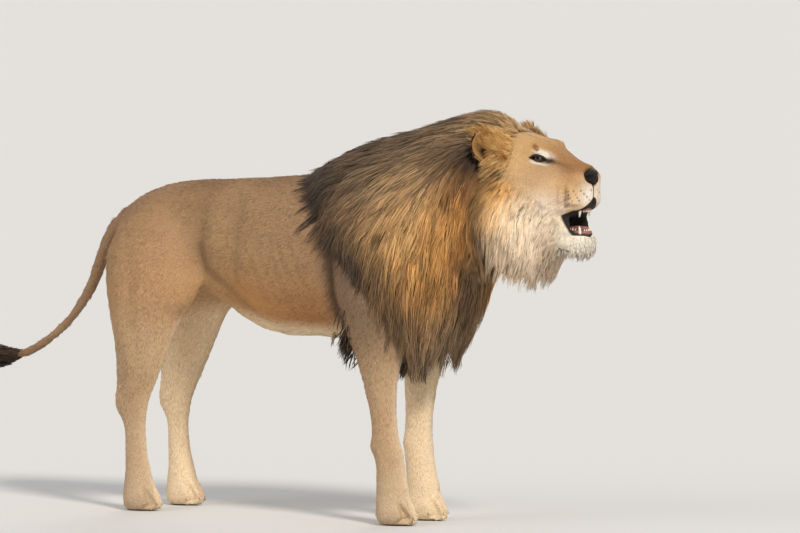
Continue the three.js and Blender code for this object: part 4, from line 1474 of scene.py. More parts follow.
def strands_in(lines, facing, per_lock, root_spread, tip_spread, curl, width, kind):
    """The strands of locks along centre lines, spread round them by so much at the root and at the tip."""
    lock = np.repeat(np.arange(len(lines)), per_lock)
    count = len(lock)
    reach = 1 - STAGGER * rng.random(count) ** 1.5
    start = 0.10 * rng.random(count)
    t = start[:, None] + kind[0][None] * (reach - start)[:, None]
    centre, out = at(lines[lock], t), unit(at(facing[lock], t))
    along = unit(np.gradient(centre, axis=1))
    side = unit(np.cross(out, along))
    out = np.cross(along, side)
    angle = rng.random(count) * 2 * math.pi
    away = np.sqrt(rng.random(count))
    spread = root_spread[lock][:, None] * (1 - t) ** 0.8 + tip_spread[lock][:, None] * t
    pitch = (5 + 3 * rng.random(len(lines)))[lock]
    phase = (ANY_PHASE * rng.random(len(lines)))[lock]
    wave = np.sin(t * pitch[:, None] + phase[:, None])
    own = np.sin(t * 7 + (ANY_PHASE * rng.random(count))[:, None])
    sideways = (np.cos(angle) * away)[:, None] * spread + curl * t * wave + 0.3 * curl * t * own
    outward = 0.55 * (np.sin(angle) * away)[:, None] * spread + 0.25 * curl * t * own
    centre = centre + side * sideways[..., None] + out * outward[..., None]
    thick = width * rng.uniform(0.7, 1.3, count)
    skinward = unit(at(facing[lock], t))
    return Strands(centre, side, out, thick, lock, t, skinward, kind)


def strand_template(rows):
    """Triangles of one strand, and the place of each corner in its patch of the map."""
    tris, places = [], []
    rings = len(rows) - 2

    def add(a, b, c, ua, ub, uc):
        tris.append((a, b, c))
        places.extend((ua, ub, uc))

    for j in range(3):
        k = (j + 1) % 3
        add(0, 1 + k, 1 + j, (j + 0.5, rows[0]), (j + 1, rows[1]), (j, rows[1]))
        for i in range(rings - 1):
            a, b = 1 + 3 * i, 4 + 3 * i
            low, high = rows[i + 1], rows[i + 2]
            add(a + j, a + k, b + k, (j, low), (j + 1, low), (j + 1, high))
            add(a + j, b + k, b + j, (j, low), (j + 1, high), (j, high))
        last = 1 + 3 * (rings - 1)
        add(last + j, last + k, last + 3, (j, rows[-2]), (j + 1, rows[-2]), (j + 0.5, rows[-1]))
    return np.array(tris), np.array(places) * [0.001, 0.003]


def tuft_template():
    """Triangles of one short tuft of 5 points: two tips and a ring."""
    tris, places = [], []
    for j in range(3):
        k = (j + 1) % 3
        tris += [(0, 1 + k, 1 + j), (4, 1 + j, 1 + k)]
        places += [(j + 0.5, 0), (j + 1, 1), (j, 1), (j + 0.5, 3), (j, 1), (j + 1, 1)]
    return np.array(tris), np.array(places) * [0.001, 0.001]


TUFT_TRIS, TUFT_PLACES = tuft_template()
CORNERS = 2 * math.pi * np.arange(3) / 3


def unwrap(points):
    """Places on a map of the skin: trunk, neck and head as one sheet cut along the belly, each leg and the
    tail as a sheet of its own below it."""
    x, y, z = points.T
    middle = np.interp(x, [-640, -300, 0, 300, 560, 700, 940], [800, 780, 740, 780, 940, 970, 950])
    u = 0.02 + 0.95 * np.clip((x + 700) / 1700, 0, 1)
    v = 0.44 + 0.53 * (np.arctan2(y, z - middle) / (2 * math.pi) + 0.5)
    for k, (centre_x, centre_y) in enumerate(((330, -104), (330, 104), (-540, -108), (-540, 108))):
        leg = (z < 560) & (np.abs(x - centre_x) < 160) & (y * centre_y > 0)
        angle = np.arctan2(y - centre_y, x - centre_x) / (2 * math.pi) + 0.5
        u = np.where(leg, 0.02 + 0.24 * k + 0.21 * angle, u)
        v = np.where(leg, 0.02 + 0.36 * np.clip(z / 560, 0, 1), v)
    tail = x < -680
    u = np.where(tail, 0.02 + 0.95 * np.clip((-680 - x) / 620, 0, 1), u)
    v = np.where(tail, 0.395 + 0.035 * (np.arctan2(y, z - 500) / (2 * math.pi) + 0.5), v)
    return np.stack([u, v], 1)


SOFTNESS = 0.6  # how far the shading of a strand follows the coat under it


def hair_piece(name, points, outward, tris, places, roots, colours, stuff):
    """One mesh of strands: points is strands by points by xyz, outward the coat's normals there."""
    count, per, _ = points.shape
    faces = (tris[None] + (np.arange(count) * per)[:, None, None]).reshape(-1, 3)
    mesh = mesh_of(name, world(points.reshape(-1, 3)), faces)
    paint(mesh, colours.reshape(-1, 3))
    layer = mesh.uv_layers.new(name="OFBake")
    corners = unwrap(roots)[:, None, :] + places[None]
    layer.data.foreach_set("uv", corners.astype(np.float32).ravel())
    own = normals_of(points.reshape(-1, 3), faces)
    soft = unit((1 - SOFTNESS) * own + SOFTNESS * outward.reshape(-1, 3))
    mesh.normals_split_custom_set_from_vertices(soft.tolist())
    piece(name, mesh, stuff)


def parted(name, count, pieces):
    """Splits the numbers below count among pieces, with a name for each."""
    parts = np.array_split(np.arange(count), pieces)
    return [(f"{name}_{k + 1}" if pieces > 1 else name, part) for k, part in enumerate(parts)]


def long_hair(name, strands, colours, stuff, pieces):
    """Joins strands into as many pieces as asked, each strand a closed spindle."""
    centre, side, out, thick, _, _, skinward, (rows, thickness) = strands
    rings = len(thickness)
    ring = centre[:, 1:-1, None] + (
        side[:, 1:-1, None] * np.cos(CORNERS)[None, None, :, None] * 1.15
        + out[:, 1:-1, None] * np.sin(CORNERS)[None, None, :, None] * 0.8
    ) * (thick[:, None, None, None] * thickness[None, :, None, None])

    def spread(values, ringed):
        return np.concatenate([values[:, :1], ringed, values[:, -1:]], 1)

    points = spread(centre, ring.reshape(len(centre), 3 * rings, 3))
    shade = spread(colours, np.repeat(colours[:, 1:-1], 3, 1))
    outward = spread(skinward, np.repeat(skinward[:, 1:-1], 3, 1))
    tris, places = strand_template(rows)
    for label, part in parted(name, len(points), pieces):
        hair_piece(
            label, points[part], outward[part], tris, places, centre[part, 0], shade[part], stuff
        )


def short_hair(name, roots, normals, along, length, width, lean, colours, stuff, pieces):
    """Joins flat short tufts, each a closed spindle of six faces that leans out of the skin."""
    direction = unit(unit(tangent(along, normals)) + normals * lean[:, None])
    side = unit(np.cross(normals, direction))
    out = np.cross(direction, side)
    base = roots - normals * 1.2
    middle = base + direction * (0.4 * length)[:, None]
    ring = middle[:, None] + (
        side[:, None] * np.cos(CORNERS)[None, :, None] + out[:, None] * np.sin(CORNERS)[None, :, None] * 0.5
    ) * width[:, None, None]
    tip = base + direction * length[:, None] - normals * (lean * length * 0.35)[:, None]
    points = np.concatenate([base[:, None], ring, tip[:, None]], 1)
    shade = np.stack([colours * 0.8, colours, colours, colours, colours * 1.12], 1)
    outward = np.repeat(normals[:, None], 5, 1)
    for label, part in parted(name, len(points), pieces):
        hair_piece(
            label, points[part], outward[part], TUFT_TRIS, TUFT_PLACES, roots[part], shade[part], stuff
        )


hair_material = material("mane_hair", 0.42, attribute="Coat", bump=0.15, scale=700, specular=0.35)
pale_hair_material = material("ruff_hair", 0.5, attribute="Coat", bump=0.15, scale=700, specular=0.3)
coat_material = material("coat_hair", 0.6, attribute="Coat", bump=0.15, scale=900, specular=0.25)
ROOT_SHARE = 0.28  # how much of the colour where it grows a strand keeps along its length


def mane_colour(points):
    return coloured(points, MANE_TONES)


def shaded(strands, tone, lock_spread, strand_spread, dark_share):
    """Colours of each strand's rows: one tone or the place's, with each lock and strand a little
    different, darker at the root and lighter to the tip."""
    centre, lock, t = strands.centre, strands.lock, strands.t
    locks = lock.max() + 1
    places = centre.reshape(-1, 3)
    here = tone(places) if callable(tone) else np.tile(tone, (len(places), 1))
    here = here.reshape(centre.shape)
    colour = ROOT_SHARE * here[:, 1:2] + (1 - ROOT_SHARE) * here
    level = np.exp(rng.normal(0, lock_spread, locks))
    level = np.where(rng.random(locks) < dark_share, level * 0.5, level)
    level = level[lock] * np.exp(rng.normal(0, strand_spread, len(lock)))
    level = np.where(rng.random(len(lock)) < 0.8 * dark_share, level * 0.5, level)
    warm = rng.normal(0, 0.035, locks)[lock]
    length_shade = 0.55 + 0.5 * ramp(t, 0, 0.5) + 0.1 * ramp(t, 0.6, 1)
    colour = colour * (level[:, None] * length_shade)[..., None]
    colour = colour * np.stack([1 + warm, np.ones_like(warm), 1 - warm], 1)[:, None]
    return colour / np.maximum(colour.max(-1, keepdims=True), 1)


def add_locks(
    name, lines, facing, per_lock, spreads, curl, width, tone, uneven, stuff, kind=LONG, pieces=1
):
    """Hair in locks along centre lines, with their spreads at root and tip. The tone is one colour or a
    function of the place, and uneven says how far locks and strands differ in it."""
    strands = strands_in(lines, facing, per_lock, *spreads, curl, width, kind)
    long_hair(name, strands, shaded(strands, tone, *uneven), stuff, pieces)


MANE_LOCKS, RUFF_LOCKS = ((2200, 480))


def mane_length(p):
    x, _, z = p.T
    length = 165 + 0 * x
    length = length + 60 * (1 - ramp(z, 480, 720)) - 35 * ramp(z, 1080, 1170)
    length = length - 30 * (1 - ramp(x, 60, 200)) * ramp(z, 820, 960)
    return length


def hanging(length, roots, normals, foot):
    """Shortens hair that would hang far below the mane's outline."""
    length = length * (1 - 0.6 * ramp(-normals[:, 2], 0.2, 0.7))
    return np.minimum(length, np.maximum(45, roots[:, 2] - foot))


# How long hair grows: the field it follows, the solid it stays on, how low it hangs and how much that
# varies; then ranges of the share of its length that its root is set back, of its depth at the root and
# lift at the tip, and of a lock's spread at the root and the share of that at the tip.
Growth = namedtuple("Growth", "field tree foot ragged back depth lift spread tip")
MANE_GROWTH = Growth(MANE_FLOW, mane_tree, 395, 14, (0.35, 0.95), (22, 40), (-4, 6), (12, 20), (0.2, 0.65))
RUFF_GROWTH = Growth(RUFF_FLOW, ruff_tree, 662, 12, (0.5, 0.9), (14, 30), (-3, 6), (9, 15), (0.2, 0.6))


def long_locks(growth, cover, count, length_of):
    """Centre lines of locks on the outer surface, the way each faces, and its spreads."""
    roots, normals = scattered(outer_points, outer_tris, lambda c: cover, count)
    length = length_of(roots)
    back = length * rng.uniform(*growth.back, count)
    roots, normals = upstream(roots, normals, back, growth.field, growth.tree)
    length = hanging(length, roots, normals, growth.foot + rng.normal(0, growth.ragged, count))
    depth = np.minimum(rng.uniform(*growth.depth, count), nearest(SKIN, roots)[2] + 2)
    lift = rng.uniform(*growth.lift, count)
    lines, facing = grow(roots, normals, length, growth.field, depth, lift, wander=0.09)
    clear = clear_of_openings(lines)
    lines, facing = lines[clear], facing[clear]
    spread = rng.uniform(*growth.spread, len(lines))
    return lines, facing, (spread, rng.uniform(*growth.tip, len(lines)) * spread)


def build_mane():
    """The locks of the mane, densest at its rear edge and behind the ruff, and those of the ruff."""
    to_mane, to_ruff = nearest(mane_tree, outer_centres)[2], nearest(ruff_tree, outer_centres)[2]
    on_ruff = (to_ruff < REACH) & (to_ruff < to_mane)
    on_mane = (to_mane < REACH) & ~on_ruff
    groove = on_mane & (to_ruff < 45)
    downstream = unit(tangent(lie(outer_centres, MANE_FLOW), normals_at(outer_points, outer_tris)))
    on = nearest(OUTER, outer_centres + 60 * downstream)[0]
    edge = on_mane & (nearest(mane_tree, on)[2] > 12) & (outer_centres[:, 0] < 400)
    cover = on_mane + 1.6 * edge + 0.8 * groove

    def mane_lengths(roots):
        return mane_length(mirrored(roots)[0]) * rng.uniform(0.75, 1.15, len(roots))

    lines, facing, spreads = long_locks(MANE_GROWTH, cover, MANE_LOCKS, mane_lengths)
    add_locks(
        "mane_locks", lines, facing, 15, spreads, 5.0, 1.05, mane_colour, (0.20, 0.14, 0.14),
        hair_material, pieces=4,
    )
    lines, facing, spreads = long_locks(
        RUFF_GROWTH, on_ruff, RUFF_LOCKS, lambda roots: rng.uniform(120, 190, len(roots))
    )
    add_locks(
        "ruff_locks", lines, facing, 15, spreads, 4.0, 0.95, mane_colour, (0.12, 0.10, 0.05),
        pale_hair_material,
    )


WOOL_DEPTH = 25.0
HEAD_MIDDLE = np.array([680.0, 30.0, 1030.0])


def build_mane_core():
    """The dense wool under the locks: the outer surface drawn in where there is mane or ruff, and the
    rest of it hidden under the skin."""
    p, tris = outer_points, outer_tris
    inner = p - normals_of(p, tris) * WOOL_DEPTH
    on, normals, _ = nearest(SKIN, inner)
    above = ((inner - on) * normals).sum(1)
    haired = np.minimum(nearest(mane_tree, p)[2], nearest(ruff_tree, p)[2]) < 12
    p = np.where((haired & (above > 4))[:, None], inner, on - 8 * normals)
    for side in (-1, 1):
        ahead, across, up = ear_place(p, side)
        r = np.hypot(across / 54, up / 62)
        in_ear = ramp(1.45 - r, 0, 0.3) * ramp(ahead, -42, -30) * (1 - ramp(ahead, 75, 95))
        in_ear = in_ear * ramp(p[:, 1] * side, 70, 85)
        p = p + in_ear[:, None] * (HEAD_MIDDLE * [1, side, 1] - p)
    before_mouth = ramp(p[:, 0], 755, 780) * ramp(p[:, 2], 800, 815)
    p = p + before_mouth[:, None] * (HEAD_MIDDLE * [1, 0, 1] - p)
    mesh = mesh_of("mane_underwool", world(p), tris)
    cut_away(mesh, (-30, 0, 0), (-1, 0, 0))
    cut_away(mesh, (0, 0, 385), (0, 0, -1))
    mesh.shade_smooth()
    p = lion(arrays(mesh))
    # The wool is painted at half the mane's colour: painted shade deep among the locks.
    paint(mesh, 0.5 * mane_colour(p))
    paint_lie(mesh, p, normals_of(p, triangles(mesh)), MANE_FLOW + RUFF_FLOW)
    piece("mane_underwool", mesh, fur_material("wool", 0.8, 320, 9, 0.75, 1.0, 0.1), HAIR[:2])


def build_cheeks():
    """Hair that lengthens from the short coat of the face back into the ruff."""
    def cover(c):
        p, _ = mirrored(c)
        behind = cheek_line(p[:, 2]) - p[:, 0]
        in_mouth = (p[:, 0] > 700) & (p[:, 1] < 62) & (p[:, 2] > 834)
        below = (p[:, 2] < 1075) & (p[:, 2] > 780) & (p[:, 0] > 620) & ~in_mouth
        return on_head * below * ramp(behind, -4, 6) * (1.0 + 1.5 * (1 - ramp(behind, 0, 50)))

    roots, normals = scattered(outer_points, outer_tris, cover, 840)
    p, _ = mirrored(roots)
    behind = cheek_line(p[:, 2]) - p[:, 0]
    length = (34 + 95 * ramp(behind, 0, 90)) * rng.uniform(0.75, 1.2, len(roots))
    depth = 5 + 8 * ramp(behind, 10, 80)
    lift = rng.uniform(0, 5, len(roots)) * (0.4 + 0.6 * ramp(behind, 10, 80)) - 2
    lines, facing = grow(roots, normals, length, FACE_FLOW + RUFF_FLOW, depth, lift)
    clear = clear_of_openings(lines)
    spread = (5 + 5 * ramp(behind, 0, 90))[clear]
    add_locks(
        "cheek_locks", lines[clear], facing[clear], 14, (spread, 0.5 * spread), 2.0, 0.85, face_tone,
        (0.10, 0.10, 0.04), pale_hair_material, SHORT,
    )


def face_tone(points):
    """The colour of the hair about the face, from the coat's own colours to the mane's."""
    p, _ = mirrored(points)
    share = ramp(cheek_line(p[:, 2]) - p[:, 0], 0, 70)[:, None]
    return (1 - share) * coat_colour(points) + share * mane_colour(points)


def build_crown():
    """Golden hair between and before the ears."""
    def cover(c):
        p, _ = mirrored(c)
        return on_head * (p[:, 2] > 1060) * (p[:, 0] > 600) * (1 - ramp(p[:, 0] - 0.15 * p[:, 1], 676, 716))

    roots, normals = scattered(outer_points, outer_tris, cover, 380)
    behind = 716 - roots[:, 0]
    length = (22 + 60 * ramp(behind, 0, 70)) * rng.uniform(0.8, 1.2, len(roots))
    lift = 3 + 8 * ramp(behind, 0, 70) * rng.uniform(0.4, 1, len(roots))
    lines, facing = grow(roots, normals, length, FACE_FLOW + MANE_FLOW, 5 + 0 * length, lift)
    behind_ear = ((lines[..., 0] < 628) & (np.abs(lines[..., 1]) > 100)).any(1)
    clear = clear_of_openings(lines) & ~behind_ear
    length = length[clear]
    add_locks(
        "crown_locks", lines[clear], facing[clear], 14, (5 + 0.08 * length, 3 + 0 * length), 2.0, 0.85,
        crown_tone, (0.10, 0.10, 0.05), pale_hair_material, SHORT,
    )


CROWN_TONES = [
    (700, 30, 1135, 30, (0.52, 0.31, 0.13), 1),
    (640, 20, 1150, 40, (0.44, 0.26, 0.11), 1),
    (690, 100, 1100, 30, (0.66, 0.37, 0.11), 1.2),
    (650, 110, 1110, 30, (0.46, 0.21, 0.06), 1),
    (660, 130, 1160, 30, (0.82, 0.48, 0.15), 1.2),
    (690, 115, 1050, 30, (0.58, 0.33, 0.12), 1),
    (600, 60, 1165, 40, (0.30, 0.18, 0.08), 1),
]


def crown_tone(points):
    return coloured(points, CROWN_TONES)


def fan(
    name, roots, normals, directions, length, bend, width, tone, stuff, per_lock, spread, dark=0.05
):
    """Free locks from given roots and directions, bent by so much at their tips."""
    t = np.linspace(0, 1, LINE_POINTS)[None, :, None]
    bend = (bend + 0 * roots)[:, None]
    lines = roots[:, None] + directions[:, None] * t * length[:, None, None] + bend * t**2
    facing = np.repeat((normals + 0 * roots)[:, None], LINE_POINTS, 1)
    spread = spread + 0 * length
    add_locks(
        name, lines, facing, per_lock, (spread, 0.5 * spread), 1.5, width, tone, (0.08, 0.10, dark),
        stuff, SHORT,
    )


RIM_TONE = (0.70, 0.46, 0.21)
EAR_HAIR_TONE = (0.46, 0.21, 0.055)
EAR_BACK_TONE = (0.035, 0.02, 0.013)
RIM_BAND = (0.70, 0.92, -16, 26)  # nearest and furthest from the ear's middle, lowest and highest
BACK_BAND = (0.25, 1.1, -50, -3)


def on_ear(points, side, band):
    """1 where a place is on a band of the ear, measured from its middle and along its facing."""
    ahead, across, up = ear_place(points, side)
    r = np.hypot(across / EAR_SIZE[0], up / EAR_SIZE[1])
    inner, outer, low, high = band
    free = (points[:, 1] * side > 94) & (up > -44)  # above where the ear joins the head
    return (r > inner) & (r < outer) & (ahead > low) & (ahead < high) & free


def build_ear_hair():
    """The fringe round each ear's rim, the long hair at its inner edge, and the black hair of its back."""
    for side_name, side in SIDES.items():
        centre, facing, outward, upward = ear_frame(side)
        on, normals = scattered(skin_points, skin_tris, lambda c: on_ear(c, side, RIM_BAND), 1900)
        radial = unit(on - centre - ((on - centre) @ facing)[:, None] * facing)
        edge = (np.abs(normals @ facing) < 0.5) & ((normals * radial).sum(1) > 0.4)
        on, normals, radial = on[edge], normals[edge], radial[edge]
        way = unit(radial * 0.8 + facing * 0.25 + upward * 0.25 + rng.normal(0, 0.22, radial.shape))
        fan(
            f"ear_fringe_{side_name}", on - way * 2.5, unit(radial + facing), way,
            rng.uniform(4, 8, len(on)), -facing, 0.35, RIM_TONE, pale_hair_material, 4, 1.8,
        )
        count = 190
        up = rng.uniform(-1.0, 1.0, count)
        base = -rng.uniform(33, 44, count)[:, None] * outward + (46 * up)[:, None] * upward
        on, normals = dropped(centre + base + 60 * facing, -facing)
        way = unit(outward * 0.45 + upward * 0.6 + facing * 0.4 + rng.normal(0, 0.18, (count, 3)))
        fan(
            f"ear_hair_{side_name}", on - way * 3, unit(facing + 0.5 * outward), way,
            rng.uniform(14, 28, count), upward * 5 - facing * 3, 0.7, EAR_HAIR_TONE, pale_hair_material,
            9, 3.5,
        )
        on, normals = scattered(skin_points, skin_tris, lambda c: on_ear(c, side, BACK_BAND), 420)
        behind = normals @ facing < -0.25
        on, normals = on[behind], normals[behind]
        way = upward * 0.8 + outward * 0.4 - facing * 0.2 + rng.normal(0, 0.15, on.shape)
        way = unit(tangent(way, normals))
        fan(
            f"ear_back_{side_name}", on, normals, unit(way + 0.15 * normals), rng.uniform(8, 15, len(on)),
            0 * on, 0.45, EAR_BACK_TONE, hair_material, 7, 3.0,
        )


def clear_of_openings(lines):
    """Which centre lines pass clear of the hollows of the ears and of the mouth."""
    clear = np.ones(len(lines), bool)
    for side in (-1, 1):
        ahead, across, up = ear_place(lines, side)
        before = (ahead > -22) & (ahead < 70) & (lines[..., 1] * side > 84)
        hit = before & ((across / 47) ** 2 + (up / 57) ** 2 < 1)
        clear &= ~hit.any(1)
    x, y, z = np.moveaxis(lines, -1, 0)
    mouth = (x > 785) & (np.abs(y) < np.where(x > 864, 70, 54)) & (z > 842) & (z < lip_edge(x, y) + 4)
    return clear & ~mouth.any(1)


TUFT_FRONT = {-1: 718.0, 1: 750.0}  # how far forward the tuft of each temple begins


def build_temples():
    """The golden tufts that stand up before each ear, and the short hair below them."""
    for side_name, side in SIDES.items():
        count = 460
        ahead = rng.uniform(640, TUFT_FRONT[side], count)
        low = 14 * ramp(ahead, 690, 738)
        out, up = rng.uniform(72, 118, count), rng.uniform(1070, 1118, count)
        roots = np.stack([ahead, side * out, up - low], 1)
        on, normals, _ = nearest(SKIN, roots)
        way = unit(np.array([-0.42, side * 0.4, 0.8]) + 0.3 * normals + rng.normal(0, 0.2, on.shape))
        length = rng.uniform(38, 64, count) * (1 - 0.5 * ramp(ahead, TUFT_FRONT[side] - 50, TUFT_FRONT[side]))
        fan(
            f"temple_tuft_{side_name}", on - way * 4, normals, way, length,
            np.array([-16.0, side * 5.0, -4.0]), 0.6, crown_tone, pale_hair_material,
            9, 8.0, 0.0,
        )
        count = 200
        ahead, out = rng.uniform(655, 730, count), rng.uniform(90, 120, count)
        roots = np.stack([ahead, side * out, rng.uniform(1000, 1085, count)], 1)
        on, normals, _ = nearest(SKIN, roots)
        way = unit(np.array([-0.75, side * 0.35, -0.45]) + 0.25 * normals + rng.normal(0, 0.16, on.shape))
        length = rng.uniform(24, 44, count) * (1 - 0.4 * ramp(on[:, 0], 690, 730))
        fan(
            f"ear_front_{side_name}", on - way * 4, normals, way, length,
            np.array([-6.0, side * 3.0, -9.0]), 0.6, crown_tone, pale_hair_material,
            12, 5.0,
        )


CHIN_TONE = (0.93, 0.84, 0.69)


def build_chin():
    """The white tuft of the chin."""

    def cover(c):
        return (c[:, 0] > 862) * (c[:, 2] < 836) * (c[:, 2] > 760) * (0.3 + ramp(c[:, 0], 870, 900))

    roots, normals = scattered(skin_points, skin_tris, cover, 300)
    way = unit(tangent(lie(roots, FACE_FLOW), normals) + 0.22 * normals + rng.normal(0, 0.12, roots.shape))
    length = rng.uniform(10, 20, len(roots))
    down = np.array([-1.5, 0, -4.0])
    fan(
        "chin_tuft", roots, normals, way, length, down, 0.5, CHIN_TONE, pale_hair_material,
        8, 3.5, 0.0,
    )


def coat_length(p):
    x, _, z = p.T
    length = 19 - 8 * ramp(x, 560, 700) - 4.5 * ramp(x, 800, 900)
    length = np.where(x < 560, length - 9 * (1 - ramp(z, 60, 420)), length)
    return length


def build_coat():
    """Short flat fur over everything that the mane leaves bare, finest on the face and feet."""
    to_mane = nearest(mane_tree, skin_points[skin_tris].mean(1))[2]

    def bare(c):
        p, _ = mirrored(c)
        x, y, z = p.T
        covered = (x > 120) & (x < 700) & (z > 560) & (to_mane > 2) & (z > 1170 - 0.9 * x)
        ruffed = (x > 560) & (x < cheek_line(z) - 25) & (z < 1075)
        eye = np.linalg.norm(p - EYE_FRONT, axis=1) < 17
        lips = (z < lip_edge(x, y) + 4) & (x > 866) & (z > 838)
        return np.where((covered | ruffed | eye | lips) & (z > 480), 0.0, 1.0)

    def body_share(c):
        fine = np.maximum(ramp(c[:, 0], 600, 700), (1 - ramp(c[:, 2], 60, 200)) * 0.6)
        return bare(c) * (1 + 0.6 * (c[:, 2] < 120)) * (c[:, 0] < 640) * (1 + fine)

    def face_share(c):
        return bare(c) * (c[:, 0] >= 640) * (1 + 1.2 * ramp(c[:, 0], 760, 880))

    for name, density, count, width, pieces in (
        ("body_coat", body_share, 29000, 1.25, 2),
        ("face_coat", face_share, 15000, 0.55, 1),
    ):
        roots, normals = scattered(skin_points, skin_tris, density, count)
        p, _ = mirrored(roots)
        length = coat_length(p) * rng.uniform(0.75, 1.2, count)
        along = lie(roots, COAT_FLOW) + rng.normal(0, 0.10, roots.shape)
        tone = ear_colour(roots, coat_colour(roots)) * np.exp(rng.normal(0, 0.13, count))[:, None]
        short_hair(
            name, roots, normals, along, length, width * rng.uniform(0.7, 1.2, count),
            rng.uniform(0.14, 0.26, count), tone, coat_material, pieces,
        )


def build_claws():
    """The tips of the claws, one at the front of each toe."""
    horn = material("claw_horn", 0.35, colour=(0.34, 0.26, 0.18), bump=0.3, scale=500, mottle=0.5)
    t = np.linspace(0, 1, 8)[:, None]
    curve = np.array([-5.0, 0, 5.0]) + t * np.array([11.0, 0, -2.0]) + t**2 * np.array([0, 0, -8.0])
    thick = 2.6 * np.sqrt(1 - 0.98 * t[:, 0])
    for paw in PAWS:
        low, high = (lion(corner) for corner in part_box(paw))
        middle, half = (low[1] + high[1]) / 2, (high[1] - low[1]) / 2
        toes_at = [middle + half * place for place in (-0.72, -0.25, 0.25, 0.72)]
        on, _ = dropped(np.array([[high[0] + 60, y, 20.0] for y in toes_at]), np.array([-1.0, 0.0, 0.0]))
        mesh = merged(f"claws_{paw}", [tube_mesh(root + curve, thick) for root in on])
        mesh.shade_smooth()
        piece(f"claws_{paw}", mesh, horn)


TUFT_TONE = (0.050, 0.028, 0.016)
TUFT_LAP = np.array([26.0, 0.0, 13.0])  # how far the tuft's base reaches back over the tail


def build_tail_tuft():
    """The dark tuft: a core, and locks that run back along it and close at its tip."""
    solid = joined(["tail_tuft"])
    p, tris = lion(arrays(solid)), triangles(solid)
    base, tip = p[p[:, 0].argmax()], p[p[:, 0].argmin()]
    reach = np.linalg.norm(tip - base)
    way = (tip - base) / reach
    count = 300
    roots, normals = scattered(p, tris, lambda c: 1.3 - (c - base) @ way / reach, count)
    roots = roots - 6 * normals
    start = (roots - base) @ way
    off = roots - base - start[:, None] * way
    length = rng.uniform(50, 110, count)
    length = np.minimum(length, 1.06 * reach - start) * rng.uniform(0.7, 1, count)
    t = np.linspace(0, 1, LINE_POINTS)
    place = start[:, None] + t * length[:, None]
    girth = [0.55, 0.95, 1.0, 0.75, 0.35, 0.06]
    grown = np.interp(place / reach, [-0.1, 0.2, 0.5, 0.75, 0.92, 1.04], girth)
    scale = grown / np.maximum(grown[:, :1], 0.3)
    wave = 5.0 * np.sin(place / 26 + ANY_PHASE * rng.random((count, 1)))
    lines = base + place[..., None] * way + off[:, None] * (scale * 1.05)[..., None]
    lines[..., 1] += wave * t
    lines = lines + (1 - ramp(place / reach, 0, 0.35))[..., None] * TUFT_LAP
    facing = np.repeat(unit(off + 0.3 * normals)[:, None], LINE_POINTS, 1)
    spreads = np.full(count, 5.0), np.full(count, 1.5)
    add_locks(
        "tail_tuft_hair", lines, facing, 9, spreads, 2.5, 1.0, TUFT_TONE, (0.45, 0.3, 0.1),
        hair_material,
    )
    middle = base + way * ((p - base) @ way)[:, None]
    lap = 1 - ramp((p - base) @ way / reach, 0, 0.3)
    core = middle + 0.72 * (p - middle) + lap[:, None] * TUFT_LAP
    mesh = mesh_of("tail_tuft_core", world(core), tris)
    paint(mesh, np.tile(TUFT_TONE, (len(p), 1)))
    paint_lie(mesh, core, normals_of(core, tris), BODY_FLOW)
    wool = fur_material("tuft_wool", 0.8, 320, 9, 0.6, 0.8, 0.1)
    piece("tail_tuft_core", mesh, wool, ["tail_tuft"])


def build_fringes():
    """The curled tuft behind each elbow, and the thin fringe under the chest between the forelegs."""

    def behind_elbow(c):
        p, _ = mirrored(c)
        return near(p, (196, 150, 520), (16, 26, 30))

    def under_chest(c):
        p, _ = mirrored(c)
        return near(p, (172, 50, 505), (26, 50, 26)) * (p[:, 2] < 545)

    for name, where, count, way, bend, tone, reach in (
        ("elbow_tuft", behind_elbow, 150, (-0.45, 0, -0.85), (16, 0, -10), (0.085, 0.05, 0.028), (38, 75)),
        ("chest_fringe", under_chest, 170, (-0.75, 0, -0.6), (10, 0, -12), (0.52, 0.37, 0.23), (26, 54)),
    ):
        roots, normals = scattered(skin_points, skin_tris, where, count)
        direction = unit(np.array(way) + 0.35 * normals + rng.normal(0, 0.16, roots.shape))
        curl = np.array(bend) * rng.uniform(0.2, 1.6, (count, 1))
        fan(
            name, roots - 3 * normals, normals, direction, rng.uniform(*reach, count), curl, 0.75, tone,
            hair_material, 8, 4.0, 0.15,
        )


build_mane_core()
build_mane()
build_cheeks()
build_crown()
build_ear_hair()
build_temples()
build_chin()
build_coat()
build_claws()
build_tail_tuft()
build_fringes()


# Camera, floor and light

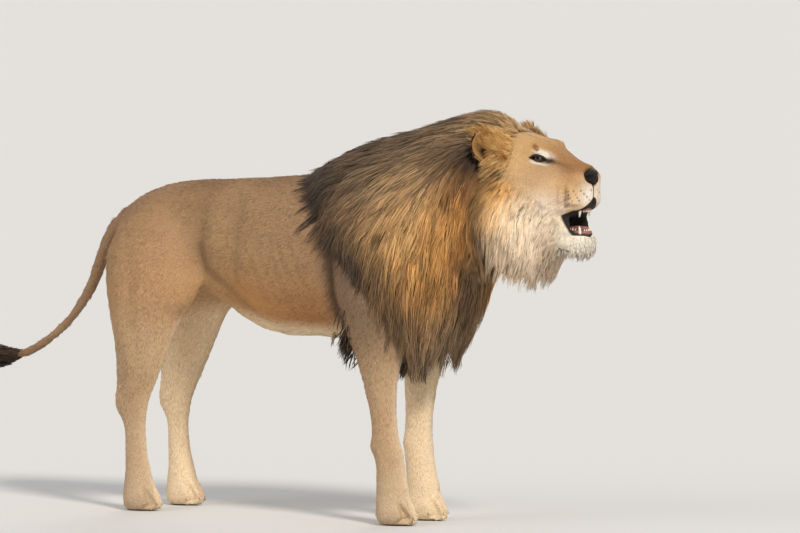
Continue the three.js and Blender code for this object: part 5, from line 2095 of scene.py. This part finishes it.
AZIMUTH, ELEVATION = math.radians(34), math.radians(4)
back = Vector(
    (
        math.sin(AZIMUTH) * math.cos(ELEVATION),
        -math.cos(AZIMUTH) * math.cos(ELEVATION),
        math.sin(ELEVATION),
    )
)
right = Vector((math.cos(AZIMUTH), math.sin(AZIMUTH), 0))
above = back.cross(right)
WIDTH = 2.28  # of the view, at the lion
DISTANCE = 40
SENSOR = 36
AIM_RIGHT, AIM_UP = 0.234, 0.7125  # the middle of the view, from the origin of the lion's coordinates
aim = Vector(world([0, 0, 0])) + right * AIM_RIGHT + above * AIM_UP
camera = bpy.data.objects.new("camera", bpy.data.cameras.new("camera"))
bpy.context.scene.collection.objects.link(camera)
camera.location = aim + back * DISTANCE
camera.rotation_euler = back.to_track_quat("Z", "Y").to_euler()
camera.data.sensor_width = SENSOR
camera.data.lens = SENSOR * DISTANCE / WIDTH
camera.data.clip_end = 500
bpy.context.scene.camera = camera

floor_mesh = bpy.data.meshes.new("floor")
floor_mesh.from_pydata([(-90, -90, 0), (90, -90, 0), (90, 90, 0), (-90, 90, 0)], [], [(0, 1, 2, 3)])
floor_material = material("pale_floor", 0.9, colour=(0.64, 0.62, 0.59), specular=0.1)
floor = bpy.data.objects.new("floor", floor_mesh)
bpy.context.scene.collection.objects.link(floor)
floor_mesh.materials.append(floor_material)


def lamp(name, direction, strength, angle, colour=(1, 1, 1)):
    light = bpy.data.lights.new(name, "SUN")
    light.energy = strength
    light.angle = math.radians(angle)
    light.color = colour
    made = bpy.data.objects.new(name, light)
    bpy.context.scene.collection.objects.link(made)
    made.rotation_euler = Vector(direction).to_track_quat("Z", "Y").to_euler()


lamp("key", (0.75, -0.45, 0.72), 2.45, 12, (1, 0.965, 0.91))
lamp("fill", (-0.5, -0.8, 0.5), 0.6, 40)
lamp("rim", (-0.3, 0.9, 0.6), 0.6, 30)
studio = bpy.data.worlds.new("studio")
bpy.context.scene.world = studio
studio.use_nodes = True
sky = studio.node_tree.nodes["Background"]
sky.inputs["Color"].default_value = (0.86, 0.88, 0.92, 1)
sky.inputs["Strength"].default_value = 0.60
bpy.context.scene.view_settings.view_transform = "Standard"
